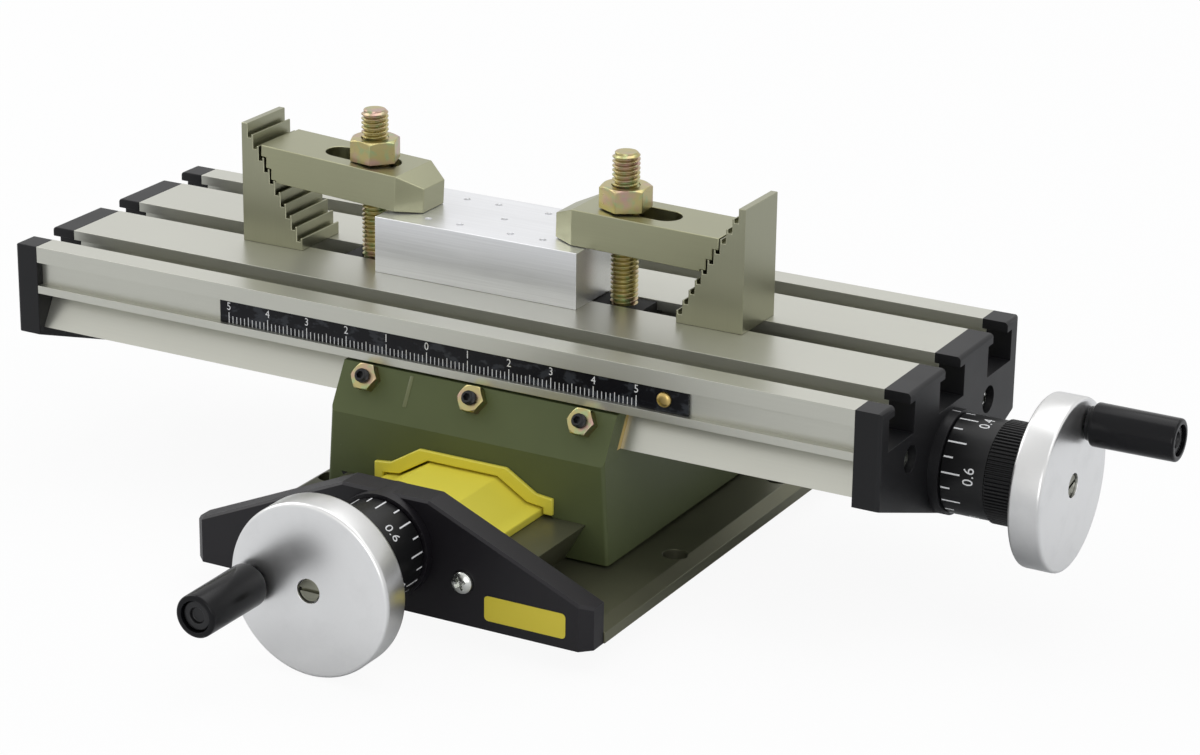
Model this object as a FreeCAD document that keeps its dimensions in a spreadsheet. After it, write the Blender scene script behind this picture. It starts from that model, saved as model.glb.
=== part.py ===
"""Cross slide table: a slotted table of 200 x 70 mm on two crossed dovetail slides.

The frame of the part has its origin on the underside of the base, at the centre of its
bolt pattern. +X runs along the table towards its handwheel, +Y away from the front plate
and +Z up. All sizes are millimetres and degrees.
"""
import FreeCAD, Part
import os
import Sketcher

V = FreeCAD.Vector
Turn = FreeCAD.Rotation
X, Y, Z = V(1, 0, 0), V(0, 1, 0), V(0, 0, 1)

# Driving sizes: name, value, what it is
SIZES = [
    # Heights of the stack
    ("base_flange", 4.0, "thickness of the base's flanges"),
    ("base_land", 12.7, "height of the flat land on the base's dovetail"),
    ("saddle_web", 15.2, "saddle metal between its two slideways"),
    ("table_height", 19.3, "height of the table's extrusion"),
    ("slide_gap", 0.03, "running gap between flat slideways"),
    ("flank_gap", 0.05, "running gap beside the dovetail flanks, measured level"),
    ("fit_gap", 0.02, "gap round pieces that are seated or screwed in"),
    ("head_gap", 0.3, "gap round a sunk screw head"),
    ("overshoot", 1.0, "how far cutters reach past the faces they cut"),
    ("foot_gap", 0.55, "gap between saddle and base flange"),
    ("rail_gap", 0.6, "gap between the saddle's top and the table's rail"),
    ("flank_slope", 1.732, "rise over run of every dovetail flank, 60 degrees"),
    ("flank_angle", 60.0, "angle of the dovetail flanks in degrees"),
    ("gib_width", 1.5, "width of a gib strip, measured level"),
    ("gib_end_gap", 0.1, "gib strip from the floor or roof of its slideway"),
    ("gib_edge_gap", 0.3, "gib strip below the saddle's top or above its foot"),
    # Places of the slides as they stand
    ("table_rest", -13.9, "centre of the table from the saddle's centre"),
    ("saddle_rest", 2.0, "centre of the saddle from the bolt pattern's centre"),
    # Table
    ("table_length", 200.0, "length of the extrusion"),
    ("table_depth", 70.0, "depth of the extrusion"),
    ("slot_pitch", 25.0, "distance between the T-slots"),
    ("slot_gap", 7.7, "width of a T-slot's mouth"),
    ("slot_tee", 12.6, "width of a T-slot's undercut"),
    ("slot_lip", 2.2, "thickness of a T-slot's lip"),
    ("slot_floor", 9.1, "depth of a T-slot"),
    ("groove_top", 3.7, "top of the scale groove below the table's top"),
    ("groove_bottom", 9.1, "bottom of the scale groove below the table's top"),
    ("groove_depth", 1.9, "depth of the scale groove"),
    ("rail_bottom", 10.9, "underside of the rail below the table's top"),
    ("dovetail_inset", 1.7, "foot of the dovetail behind the rail's face"),
    ("web_bottom", 11.6, "underside of the web below the table's top"),
    ("channel_half", 9.0, "half width of the channel for spindle and nut"),
    ("pocket_in", 11.5, "inner side of the hollow beside the channel"),
    ("pocket_out", 16.4, "outer side of the hollow beside the channel"),
    ("port_offset", 20.0, "screw port from the table's centre line"),
    ("port_drop", 14.3, "screw port below the table's top"),
    ("port_radius", 1.3, "radius of every screw port"),
    # End caps
    ("cap_thickness", 5.8, "thickness of an end cap"),
    ("cap_drop", 1.35, "cap below the foot of the table"),
    ("cap_round", 0.9, "rounding of a cap's outer edges"),
    ("lobe_radius", 11.1, "radius of a cap's lobe round the spindle"),
    ("x_boss", 2.3, "boss ring proud of the right cap"),
    ("rear_bore_depth", 4.0, "depth of the spindle's blind bore in the left cap"),
    ("cap_screw_head", 2.7, "head radius of an end cap screw"),
    ("cap_screw_sink", 2.6, "depth of the screw recess in a cap"),
    # Scale
    ("scale_left", -51.7, "left end of the scale strip from the table's centre"),
    ("scale_right", 62.6, "right end of the scale strip from the table's centre"),
    ("scale_thickness", 0.8, "thickness of the scale strip"),
    ("scale_margin", 0.2, "gap above and below the scale strip"),
    ("rivet_place", 57.1, "rivet from the table's centre"),
    ("rivet_radius", 1.7, "head radius of the rivet"),
    ("rivet_head", 0.9, "head height of the rivet"),
    # Saddle
    ("saddle_width", 66.0, "width of the saddle between the end caps"),
    ("saddle_foot_width", 68.7, "width of the saddle at its foot"),
    ("shoulder_drop", 9.7, "height of the slanting upper face"),
    ("saddle_round", 0.8, "rounding of the saddle's upright corners"),
    ("gib_screw_pitch", 26.2, "distance between the gib screws"),
    ("gib_screw_place", 2.95, "gib screw below the saddle's top, along the slope"),
    ("gib_screw_radius", 1.5, "radius of a gib screw"),
    ("gib_screw_stick", 1.4, "gib screw proud of its lock nut"),
    ("gib_screw_gap", 0.1, "gap between a lower gib screw and its strip"),
    ("gib_socket_radius", 0.75, "radius of a gib screw's socket"),
    ("gib_socket_depth", 1.2, "depth of a gib screw's socket"),
    ("gib_screw_drop", 4.2, "gib screw of the lower slide below the base's land"),
    ("gib_nut_flats", 5.5, "width over flats of a gib lock nut"),
    ("gib_nut_height", 2.4, "height of a gib lock nut"),
    ("gib_seat_radius", 3.6, "radius of the flat seat under a lower lock nut"),
    ("gib_seat_sink", 0.75, "flat seat inside the widest part of the saddle"),
    ("nut_face", 0.98, "turned face of every nut as a share of its flats"),
    # Spindles and nuts
    ("x_spindle_drop", 2.0, "table spindle's axis below the table's foot"),
    ("y_spindle_rise", 1.1, "saddle spindle's axis above the base's land"),
    ("thread_radius", 3.0, "outer radius of the spindle's thread, M6 x 1"),
    ("collar_radius", 3.9, "radius of the spindle's thrust collar"),
    ("collar_sink", 2.0, "depth of the thrust collar's counterbore"),
    ("journal_radius", 2.5, "radius of the spindle's journals"),
    ("bore_gap", 0.05, "radial running gap of every bore"),
    ("spindle_end_gap", 0.2, "gap behind the table spindle's far end"),
    ("y_spindle_short", 4.0, "saddle's spindle ends this far inside its nut's last place"),
    ("nut_length", 16.0, "length of a spindle nut"),
    ("nut_half", 7.0, "half width of the table's nut"),
    ("nut_rise", 6.0, "table's nut above its spindle's axis"),
    ("spindle_channel_half", 5.0, "half width of the saddle's spindle channel"),
    ("spindle_channel_drop", 3.6, "channel floor below the spindle's axis"),
    ("y_nut_half", 6.0, "half width of the saddle's nut"),
    ("y_nut_drop", 5.0, "saddle's nut below its spindle's axis"),
    ("y_nut_place", 25.0, "saddle's nut behind the saddle's centre"),
    ("nut_screw_pitch", 8.0, "distance between the nut's screws"),
    ("nut_screw_length", 10.0, "length of a nut screw"),
    ("nut_screw_sink", 0.3, "head of a nut screw below the table's slideway"),
    # Base
    ("y_travel", 46.0, "travel of the saddle"),
    ("stop_gap", 0.1, "gap left at each end of the saddle's travel"),
    ("base_width", 95.0, "width over the flanges"),
    ("dovetail_half", 29.0, "half width of the base's dovetail at its land"),
    ("base_channel_half", 13.0, "half width of the base's channel"),
    ("base_channel_floor", 6.0, "height of the base's channel floor"),
    ("bevel_width", 2.5, "width of the bevel on a flange's edge"),
    ("bevel_height", 1.6, "height of the bevel on a flange's edge"),
    ("bolt_edge", 4.85, "bolt holes from the sides of the base"),
    ("bolt_spacing_y", 49.0, "bolt holes, front to back"),
    ("bolt_radius", 2.65, "radius of a bolt hole"),
    # Front plate
    ("plate_thickness", 6.3, "thickness of the front plate"),
    ("plate_half", 47.2, "half width of the front plate"),
    ("plate_end", 9.0, "height of the plate at its ends"),
    ("plate_peak", 25.0, "height of the plate in the middle"),
    ("plate_peak_half", 10.2, "half width of the plate's flat top"),
    ("plate_bevel", 0.5, "bevel of the plate's top edge"),
    ("plate_corner", 2.3, "bevel of the plate's upright corners"),
    ("y_boss", 2.0, "boss ring proud of the front plate"),
    ("y_boss_radius", 11.3, "radius of the front plate's boss ring"),
    ("bead_recess", 1.3, "depth of the recess behind the plate for the liner's bead"),
    ("bead_gap", 0.3, "gap round the bead in its recess"),
    ("keeper_wall", 1.6, "wall left in the recess round the thrust collar"),
    ("plate_screw_x", 18.4, "plate screw from the centre line"),
    ("plate_screw_z", 9.3, "plate screw above the underside"),
    ("plate_screw_head", 2.2, "head radius of a plate screw"),
    ("plate_screw_sink", 1.6, "depth of the plate screw's recess"),
    ("cap_head_height", 1.7, "head height of every plate and cap screw"),
    ("port_screw_length", 12.0, "length of a screw in its port"),
    # Spindle cover and liner
    ("cover_wall", 1.4, "wall of the spindle cover"),
    ("cover_length", 50.0, "length of the spindle cover"),
    ("cover_top_half", 8.2, "half width of the cover's flat top"),
    ("cover_top", 6.5, "cover's top above the base's land"),
    ("cover_slope_half", 15.3, "half width at the foot of the cover's slope"),
    ("cover_step", 2.2, "foot of the slope above the base's land"),
    ("cover_half", 19.0, "half width over the cover's skirts"),
    ("cover_gap", 0.45, "gap round the cover"),
    ("liner_wall", 1.6, "wall of the liner's sleeve"),
    ("liner_depth", 8.0, "depth of the liner's sleeve in the saddle"),
    ("bead_proud", 1.0, "liner's bead proud of the saddle"),
    ("bead_lap", 0.6, "width by which the bead laps the saddle's face"),
    ("liner_lift", 0.7, "liner's feet above the base's land"),
    # Handwheels
    ("wheel_radius", 18.3, "radius of a handwheel"),
    ("wheel_width", 7.0, "width of a handwheel's rim"),
    ("wheel_round", 1.0, "rounding of a handwheel's edges"),
    ("hub_radius", 6.0, "radius of a handwheel's hub"),
    ("dial_gap", 0.2, "gap at each end of a dial ring"),
    ("x_dial_length", 17.8, "length of the table's dial ring"),
    ("y_dial_length", 18.8, "length of the saddle's dial ring"),
    ("dial_radius", 10.5, "radius of a dial's graduated part"),
    ("knurl_radius", 10.9, "radius of a dial's knurled part"),
    ("knurl_length", 8.0, "length of a dial's knurled part"),
    ("screw_hole", 2.6, "radius of the hole in a handwheel's face"),
    ("screw_hole_depth", 2.2, "depth of the hole in a handwheel's face"),
    ("wheel_web", 1.0, "web between screw head and spindle"),
    ("screw_head", 2.35, "head radius of a handwheel's screw"),
    ("screw_head_height", 1.7, "head height of a handwheel's screw"),
    ("screw_shank", 1.5, "shank radius of a handwheel's screw"),
    ("screw_reach", 6.0, "length of the screw's shank"),
    ("driver_slot", 0.7, "width and depth of a screwdriver slot"),
    # Grips
    ("grip_offset", 13.2, "grip's axis from the spindle's axis"),
    ("grip_length", 19.4, "length of a grip"),
    ("grip_radius", 4.6, "radius of a grip"),
    ("grip_neck", 3.6, "radius of a grip's neck"),
    ("grip_neck_length", 1.2, "length of a grip's neck"),
    ("grip_round", 0.8, "rounding of a grip's ends"),
    ("grip_gap", 0.3, "gap between grip and handwheel"),
    ("pin_radius", 2.0, "radius of a grip's pin"),
    ("pin_head", 3.1, "head radius of a grip's pin"),
    ("pin_head_height", 1.2, "head height of a grip's pin"),
    ("pin_head_gap", 0.15, "gap round a pin's head"),
    ("pin_sink", 0.6, "pin's head below the end of the grip"),
    ("pin_seat_gap", 0.1, "gap under a pin's head"),
    ("pin_root", 5.0, "depth of the pin's hole in the wheel"),
    ("pin_root_gap", 0.2, "gap at the end of the pin's hole"),
    # Clamps
    ("step_rise", 2.45, "rise of one step"),
    ("step_run", 1.4, "run of one step"),
    ("step_first", 2.8, "height of the lowest step"),
    ("step_tip", 1.6, "thickness of a step block at its top"),
    ("step_lip", 0.45, "width of the lip on a step"),
    ("step_groove", 0.8, "depth of the groove behind a lip"),
    ("clamp_width", 15.0, "width of step blocks and straps"),
    ("clamp_shift", 0.5, "clamps behind the middle slot's centre line"),
    ("left_block", -48.0, "foot of the left step block from the table's centre"),
    ("right_block", 45.5, "foot of the right step block from the table's centre"),
    ("strap_thickness", 8.0, "thickness of a strap"),
    ("strap_length", 36.2, "length of a strap's underside"),
    ("strap_tooth", 0.5, "lowest tooth above a strap's underside"),
    ("strap_gap", 0.35, "gap between a strap's risers and the block's"),
    ("seat_gap", 0.08, "gap where clamp pieces rest on each other"),
    ("nose_length", 5.5, "length of a strap's nose"),
    ("nose_side", 3.2, "side bevel of a strap's nose"),
    ("nose_height", 5.5, "height of a strap's nose at its tip"),
    ("strap_slot_half", 3.6, "half width of a strap's slot"),
    ("strap_slot_rear", 8.6, "rear end of the slot from the strap's heel"),
    ("strap_slot_length", 18.4, "length of a strap's slot"),
    ("stud_radius", 3.0, "radius of a clamp stud, M6"),
    ("stud_bevel", 0.6, "bevel of a stud's ends"),
    ("stud_top", 33.2, "stud above the table's top"),
    ("stud_foot", 8.4, "stud below the table's top"),
    ("left_stud", -33.1, "left stud from the table's centre"),
    ("right_stud", 29.4, "right stud from the table's centre"),
    ("nut_flats", 10.0, "width over flats of a clamp nut"),
    ("nut_height", 5.0, "height of a clamp nut"),
    ("nut_lift", 0.35, "nut above the strap's slanting top at the stud"),
    ("tee_length", 12.0, "length of a T-nut"),
    ("tee_width", 12.2, "width of a T-nut's foot"),
    ("tee_height", 4.0, "height of a T-nut's foot"),
    ("tee_neck", 7.4, "width of a T-nut's neck"),
    ("tee_below", 0.3, "T-nut's neck below the table's top"),
    # Work block between the straps
    ("work_length", 50.1, "length of the work block"),
    ("work_depth", 26.0, "depth of the work block"),
    ("work_height", 12.6, "height of the work block"),
    ("work_x", -1.45, "work block from the table's centre"),
    ("work_y", 2.1, "work block behind the middle slot's centre line"),
    ("pilot_radius", 0.8, "radius of the work block's pilot holes"),
    ("pilot_depth", 3.0, "depth of the pilot holes"),
    ("pilot_near", 6.3, "inner columns of pilot holes from the block's centre"),
    ("pilot_far", 14.3, "outer columns of pilot holes from the block's centre"),
    ("pilot_row", 8.3, "rows of pilot holes from the block's centre"),
]

# Counts, and how near an edge must be to a plane to lie in it
STEP_COUNT = 10
STRAP_TEETH = 3
LEFT_STEP = 5
RIGHT_STEP = 4
NEAR = 0.01

doc = FreeCAD.newDocument("cross_slide_table")
sheet = doc.addObject("Spreadsheet::Sheet", "sizes")
for row, (alias, value, meaning) in enumerate(SIZES, start=1):
    sheet.set(f"A{row}", meaning)
    sheet.set(f"B{row}", str(value))
    sheet.setAlias(f"B{row}", alias)
doc.recompute()

# Places that several pieces share, as expressions on the sheet
LAND = "sizes.base_land"
ROOF = f"({LAND} + sizes.slide_gap)"
FLOOR = f"({ROOF} + sizes.saddle_web)"
TABLE_FOOT = f"({FLOOR} + sizes.slide_gap)"
TABLE_TOP = f"({TABLE_FOOT} + sizes.table_height)"
SADDLE_TOP = f"({TABLE_TOP} - sizes.rail_bottom - sizes.rail_gap)"
SADDLE_FOOT = "(sizes.base_flange + sizes.foot_gap)"
BEND = f"({SADDLE_TOP} - sizes.shoulder_drop)"
RAIL_HALF = "(sizes.table_depth / 2)"
SADDLE_HALF = f"({RAIL_HALF} + sizes.shoulder_drop / sizes.flank_slope)"
BASE_HALF = f"({SADDLE_HALF} + sizes.y_travel / 2 + sizes.stop_gap)"
TABLE_FLANK = f"({RAIL_HALF} - sizes.dovetail_inset)"
TABLE_X = "sizes.table_rest"
TABLE_Y = "sizes.saddle_rest"
END = "(sizes.table_length / 2)"
X_AXIS = f"({TABLE_FOOT} - sizes.x_spindle_drop)"
X_AXIS_DROP = "(sizes.table_height + sizes.x_spindle_drop)"
Y_AXIS = f"({LAND} + sizes.y_spindle_rise)"
CAP_FACE = f"({END} + sizes.cap_thickness)"
PLATE_FACE = f"({BASE_HALF} + sizes.plate_thickness)"
JOURNAL_BORE = "(sizes.journal_radius + sizes.bore_gap)"
THREAD_BORE = "(sizes.thread_radius + sizes.bore_gap)"
COLLAR_BORE = "(sizes.collar_radius + 2 * sizes.bore_gap)"
ON_TABLE = (TABLE_X, TABLE_Y, TABLE_TOP)
ON_SADDLE = ("0", TABLE_Y, "0")
ON_BASE = ("0", "0", "0")
SUB_PARTS = []


def number(expression):
    """The value that an expression on the sheet has now."""
    return float(sheet.evalExpression(expression))


def bind(thing, **expressions):
    """Bind properties of an object to expressions on the sheet."""
    for name, expression in expressions.items():
        thing.setExpression(name, expression)
    return thing


def place(thing, at, turn=None):
    """Give an object a turn, and a place bound to three expressions."""
    thing.Placement = FreeCAD.Placement(V(0, 0, 0), turn or Turn())
    for axis, expression in zip("xyz", at):
        thing.setExpression(f"Placement.Base.{axis}", expression)
    return thing


def keep(thing, label):
    """Name a finished sub-part, which is also the name of its file."""
    thing.Label = label
    SUB_PARTS.append(thing)
    return thing


def new_body(name):
    """A body whose own planes carry its sketches."""
    return doc.addObject("PartDesign::Body", name + "_body")


def new_sketch(body, role, lift=None):
    """A sketch on one of a body's planes, lifted along the plane's normal if asked."""
    sketch = body.newObject("Sketcher::SketchObject", body.Name + "_sketch")
    plane = [p for p in body.Origin.OriginFeatures if p.Role == role][0]
    sketch.AttachmentSupport = [(plane, "")]
    sketch.MapMode = "FlatFace"
    if lift:
        sketch.setExpression("AttachmentOffset.Base.z", lift)
    return sketch


def draw_loop(sketch, points):
    """Draw a closed outline whose corners are bound to pairs of expressions."""
    start = sketch.GeometryCount
    places = [V(number(across), number(up), 0) for across, up in points]
    count = len(points)
    for i in range(count):
        line = Part.LineSegment(places[i], places[(i + 1) % count])
        sketch.addGeometry(line, False)
    for i in range(count):
        follower = start + (i + 1) % count
        sketch.addConstraint(Sketcher.Constraint("Coincident", start + i, 2, follower, 1))
    for i, (across, up) in enumerate(points):
        for kind, expression, value in (
            ("DistanceX", across, places[i].x),
            ("DistanceY", up, places[i].y),
        ):
            made = sketch.addConstraint(Sketcher.Constraint(kind, -1, 1, start + i, 1, value))
            sketch.setExpression(f"Constraints[{made}]", expression)
    return sketch


def draw_circle(sketch, across, up, radius):
    """Draw a circle whose centre and radius are bound to expressions."""
    middle = V(number(across), number(up), 0)
    drawn = sketch.addGeometry(Part.Circle(middle, Z, number(radius)), False)
    for constraint, expression in (
        (Sketcher.Constraint("DistanceX", -1, 1, drawn, 3, middle.x), across),
        (Sketcher.Constraint("DistanceY", -1, 1, drawn, 3, middle.y), up),
        (Sketcher.Constraint("Radius", drawn, number(radius)), radius),
    ):
        made = sketch.addConstraint(constraint)
        sketch.setExpression(f"Constraints[{made}]", expression)
    return sketch


def pad(body, sketch, length, side="Symmetric", backwards=False):
    """Extrude a sketch."""
    feature = body.newObject("PartDesign::Pad", body.Name + "_pad")
    feature.Profile = sketch
    feature.SideType = side
    feature.Reversed = backwards
    feature.setExpression("Length", length)
    return feature


def pocket(body, sketch, length=None, backwards=False):
    """Cut a sketch to a length, or through everything both ways."""
    feature = body.newObject("PartDesign::Pocket", body.Name + "_pocket")
    feature.Profile = sketch
    feature.Reversed = backwards
    if length:
        feature.setExpression("Length", length)
    else:
        feature.SideType = "Symmetric"
        feature.Type = "ThroughAll"
    return feature


def turned(name, points):
    """A body turned round its own X axis, from points of (along, radius)."""
    body = new_body(name)
    sketch = draw_loop(new_sketch(body, "XY_Plane"), points)
    feature = body.newObject("PartDesign::Revolution", body.Name + "_turned")
    feature.Profile = sketch
    feature.ReferenceAxis = (sketch, ["H_Axis"])
    return body


def dress_edges(body, kind, size_name, size, wanted):
    """Fillet or chamfer the edges of a body's last feature that a test picks out."""
    doc.recompute()
    last = body.Tip
    names = [f"Edge{i}" for i, edge in enumerate(last.Shape.Edges, start=1) if wanted(edge)]
    feature = body.newObject(kind, body.Name + "_edges")
    feature.Base = (last, names)
    feature.setExpression(size_name, size)
    return feature


def round_edges(body, radius, wanted):
    """Round the edges of a body's last feature that a test picks out."""
    return dress_edges(body, "PartDesign::Fillet", "Radius", radius, wanted)


def cylinder(radius, length, at, turn=None):
    """A cylinder that stands on a place, along Z unless it is turned."""
    thing = doc.addObject("Part::Cylinder", "rod")
    bind(thing, Radius=radius, Height=length)
    return place(thing, at, turn)


def box(size, at, turn=None):
    """A box whose lowest corner is at a place."""
    thing = doc.addObject("Part::Box", "block")
    bind(thing, Length=size[0], Width=size[1], Height=size[2])
    return place(thing, at, turn)


def hexagon(flats, height, at, turn=None):
    """A hexagon bar with corners along X, its top corners turned off at 30 degrees."""
    bar = doc.addObject("Part::Prism", "hexagon")
    bar.Polygon = 6
    bind(bar, Circumradius=f"{flats} / 2 / cos(30)", Height=height)
    cone = doc.addObject("Part::Cone", "chamfer")
    wide = f"{flats} / 2 + {height} * tan(60)"
    bind(cone, Radius1=wide, Radius2=f"{flats} / 2 * sizes.nut_face", Height=height)
    common = doc.addObject("Part::Common", "hexagon_bar")
    common.Base = bar
    common.Tool = cone
    return place(common, at, turn)


def cut(base, tools):
    """Cut one or more tools from a base."""
    result = doc.addObject("Part::Cut", "cut")
    result.Base = base
    result.Tool = join(tools) if len(tools) > 1 else tools[0]
    return result


def join(pieces):
    """Fuse pieces that make one solid, or one set of cutters."""
    result = doc.addObject("Part::MultiFuse", "joined")
    result.Shapes = pieces
    return result


def group(pieces):
    """Keep alike pieces together as separate solids of one sub-part."""
    result = doc.addObject("Part::Compound", "group")
    result.Links = pieces
    return result


def mirrored(points):
    """Points on the right, followed by their mirror images on the left."""
    return points + [(f"-({across})", up) for across, up in reversed(points)]


def slot_side(centre, side):
    """One side of a T-slot, from the mouth to the floor, for the side +1 or -1."""
    mouth = f"{centre} + {side} * sizes.slot_gap / 2"
    undercut = f"{centre} + {side} * sizes.slot_tee / 2"
    return [
        (mouth, "0"),
        (mouth, "-sizes.slot_lip"),
        (undercut, "-sizes.slot_lip"),
        (undercut, "-sizes.slot_floor"),
    ]


def slotted_top():
    """Right half of the table's upper outline, from the middle slot to the outer edge."""
    middle = list(reversed(slot_side("0", 1)))
    outer_in = slot_side("sizes.slot_pitch", -1)
    outer_out = list(reversed(slot_side("sizes.slot_pitch", 1)))
    return middle + outer_in + outer_out + [(RAIL_HALF, "0")]


def make_table():
    """The table: one extrusion with T-slots, scale grooves, a dovetail and screw ports."""
    body = new_body("table")
    flank_root = f"{TABLE_FLANK} - (sizes.table_height - sizes.rail_bottom) / sizes.flank_slope"
    groove = f"{RAIL_HALF} - sizes.groove_depth"
    foot = "-sizes.table_height"
    web = "-sizes.web_bottom"
    right = slotted_top() + [
        (RAIL_HALF, "-sizes.groove_top"),
        (groove, "-sizes.groove_top"),
        (groove, "-sizes.groove_bottom"),
        (RAIL_HALF, "-sizes.groove_bottom"),
        (RAIL_HALF, "-sizes.rail_bottom"),
        (flank_root, "-sizes.rail_bottom"),
        (TABLE_FLANK, foot),
        ("sizes.pocket_out", foot),
        ("sizes.pocket_out", web),
        ("sizes.pocket_in", web),
        ("sizes.pocket_in", foot),
        ("sizes.channel_half", foot),
        ("sizes.channel_half", web),
    ]
    sketch = draw_loop(new_sketch(body, "YZ_Plane"), mirrored(right))
    for side in ("", "-"):
        draw_circle(sketch, f"{side}sizes.port_offset", "-sizes.port_drop", "sizes.port_radius")
    pad(body, sketch, "sizes.table_length")
    keep(place(body, ON_TABLE), "table_plate")


def make_cap(name, side, boss):
    """An end cap whose foot tapers to a lobe: side is +1 at the handwheel and -1 at the far end."""
    body = new_body(name)
    bottom = "-(sizes.table_height + sizes.cap_drop)"
    tangent = f"(sizes.lobe_radius ^ 2 / {RAIL_HALF})"
    deep = f"-({X_AXIS_DROP} + sqrt(sizes.lobe_radius ^ 2 - {tangent} ^ 2))"
    right = slotted_top() + [(RAIL_HALF, bottom), (tangent, deep)]
    sketch = draw_loop(new_sketch(body, "YZ_Plane", f"{side} * {END}"), mirrored(right))
    pad(body, sketch, "sizes.cap_thickness", "One side", side < 0)
    outer = number(CAP_FACE) * side

    def outer_rim(edge):
        middle = edge.CenterOfMass
        on_face = abs(middle.x - outer) < NEAR
        on_top = middle.z > -NEAR
        on_side = abs(abs(middle.y) - number(RAIL_HALF)) < NEAR
        return on_face and (on_top or on_side)

    round_edges(body, "sizes.cap_round", outer_rim)
    place(body, ON_TABLE)
    axis = (f"{TABLE_X} + {side} * {END}", TABLE_Y, X_AXIS)
    along = Turn(Y, 90 * side)
    ring = cylinder("sizes.lobe_radius", f"sizes.cap_thickness + {boss}", axis, along)
    whole = join([body, ring])
    tools = []
    for across in (1, -1):
        y = f"{TABLE_Y} + {across} * sizes.port_offset"
        z = f"{TABLE_TOP} - sizes.port_drop"
        face = f"{TABLE_X} + {side} * {CAP_FACE}"
        sink = f"{face} - {side} * sizes.cap_screw_sink"
        through = "sizes.port_radius + sizes.bore_gap"
        mouth = cylinder("sizes.cap_screw_head + sizes.head_gap", "sizes.cap_screw_sink + sizes.overshoot",
                         (sink, y, z), along)
        tools.append(mouth)
        tools.append(cylinder(through, "sizes.cap_thickness", (axis[0], y, z), along))
    if side > 0:
        tools.append(cylinder(JOURNAL_BORE, f"sizes.cap_thickness + {boss} + sizes.overshoot", axis, along))
        tools.append(cylinder(COLLAR_BORE, "sizes.collar_sink", axis, along))
    else:
        tools.append(cylinder(JOURNAL_BORE, "sizes.rear_bore_depth", axis, along))
    keep(cut(whole, tools), name)


def make_cap_screws():
    """Pan head screws that hold the caps in the table's screw ports, two to a cap."""
    screws = []
    for side in (1, -1):
        along = Turn(Y, 90 * side)
        seat = f"{TABLE_X} + {side} * ({CAP_FACE} - sizes.cap_screw_sink)"
        for across in (1, -1):
            y = f"{TABLE_Y} + {across} * sizes.port_offset"
            z = f"{TABLE_TOP} - sizes.port_drop"
            screws.append(port_screw("sizes.cap_screw_head", (seat, y, z), along))
    keep(group(screws), "end_cap_screws")


def port_screw(head, seat, along):
    """A pan head screw: its head stands on the seat and its shank goes the other way."""
    top = cylinder(head, "sizes.cap_head_height", seat, along)
    shank = cylinder("sizes.port_radius", "sizes.port_screw_length", seat, along.multiply(Turn(X, 180)))
    return join([top, shank])


def make_scale():
    """The scale strip in the front groove, and the rivet that holds its end."""
    front = f"{TABLE_Y} - {RAIL_HALF} + sizes.groove_depth - sizes.scale_thickness"
    low = f"{TABLE_TOP} - sizes.groove_bottom + sizes.scale_margin"
    tall = "sizes.groove_bottom - sizes.groove_top - 2 * sizes.scale_margin"
    long = "sizes.scale_right - sizes.scale_left"
    strip = box((long, "sizes.scale_thickness", tall), (f"{TABLE_X} + sizes.scale_left", front, low))
    keep(strip, "scale_strip")
    middle = f"{TABLE_TOP} - (sizes.groove_top + sizes.groove_bottom) / 2"
    at = (f"{TABLE_X} + sizes.rivet_place", front, middle)
    keep(cylinder("sizes.rivet_radius", "sizes.rivet_head", at, Turn(X, 90)), "scale_rivet")


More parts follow.
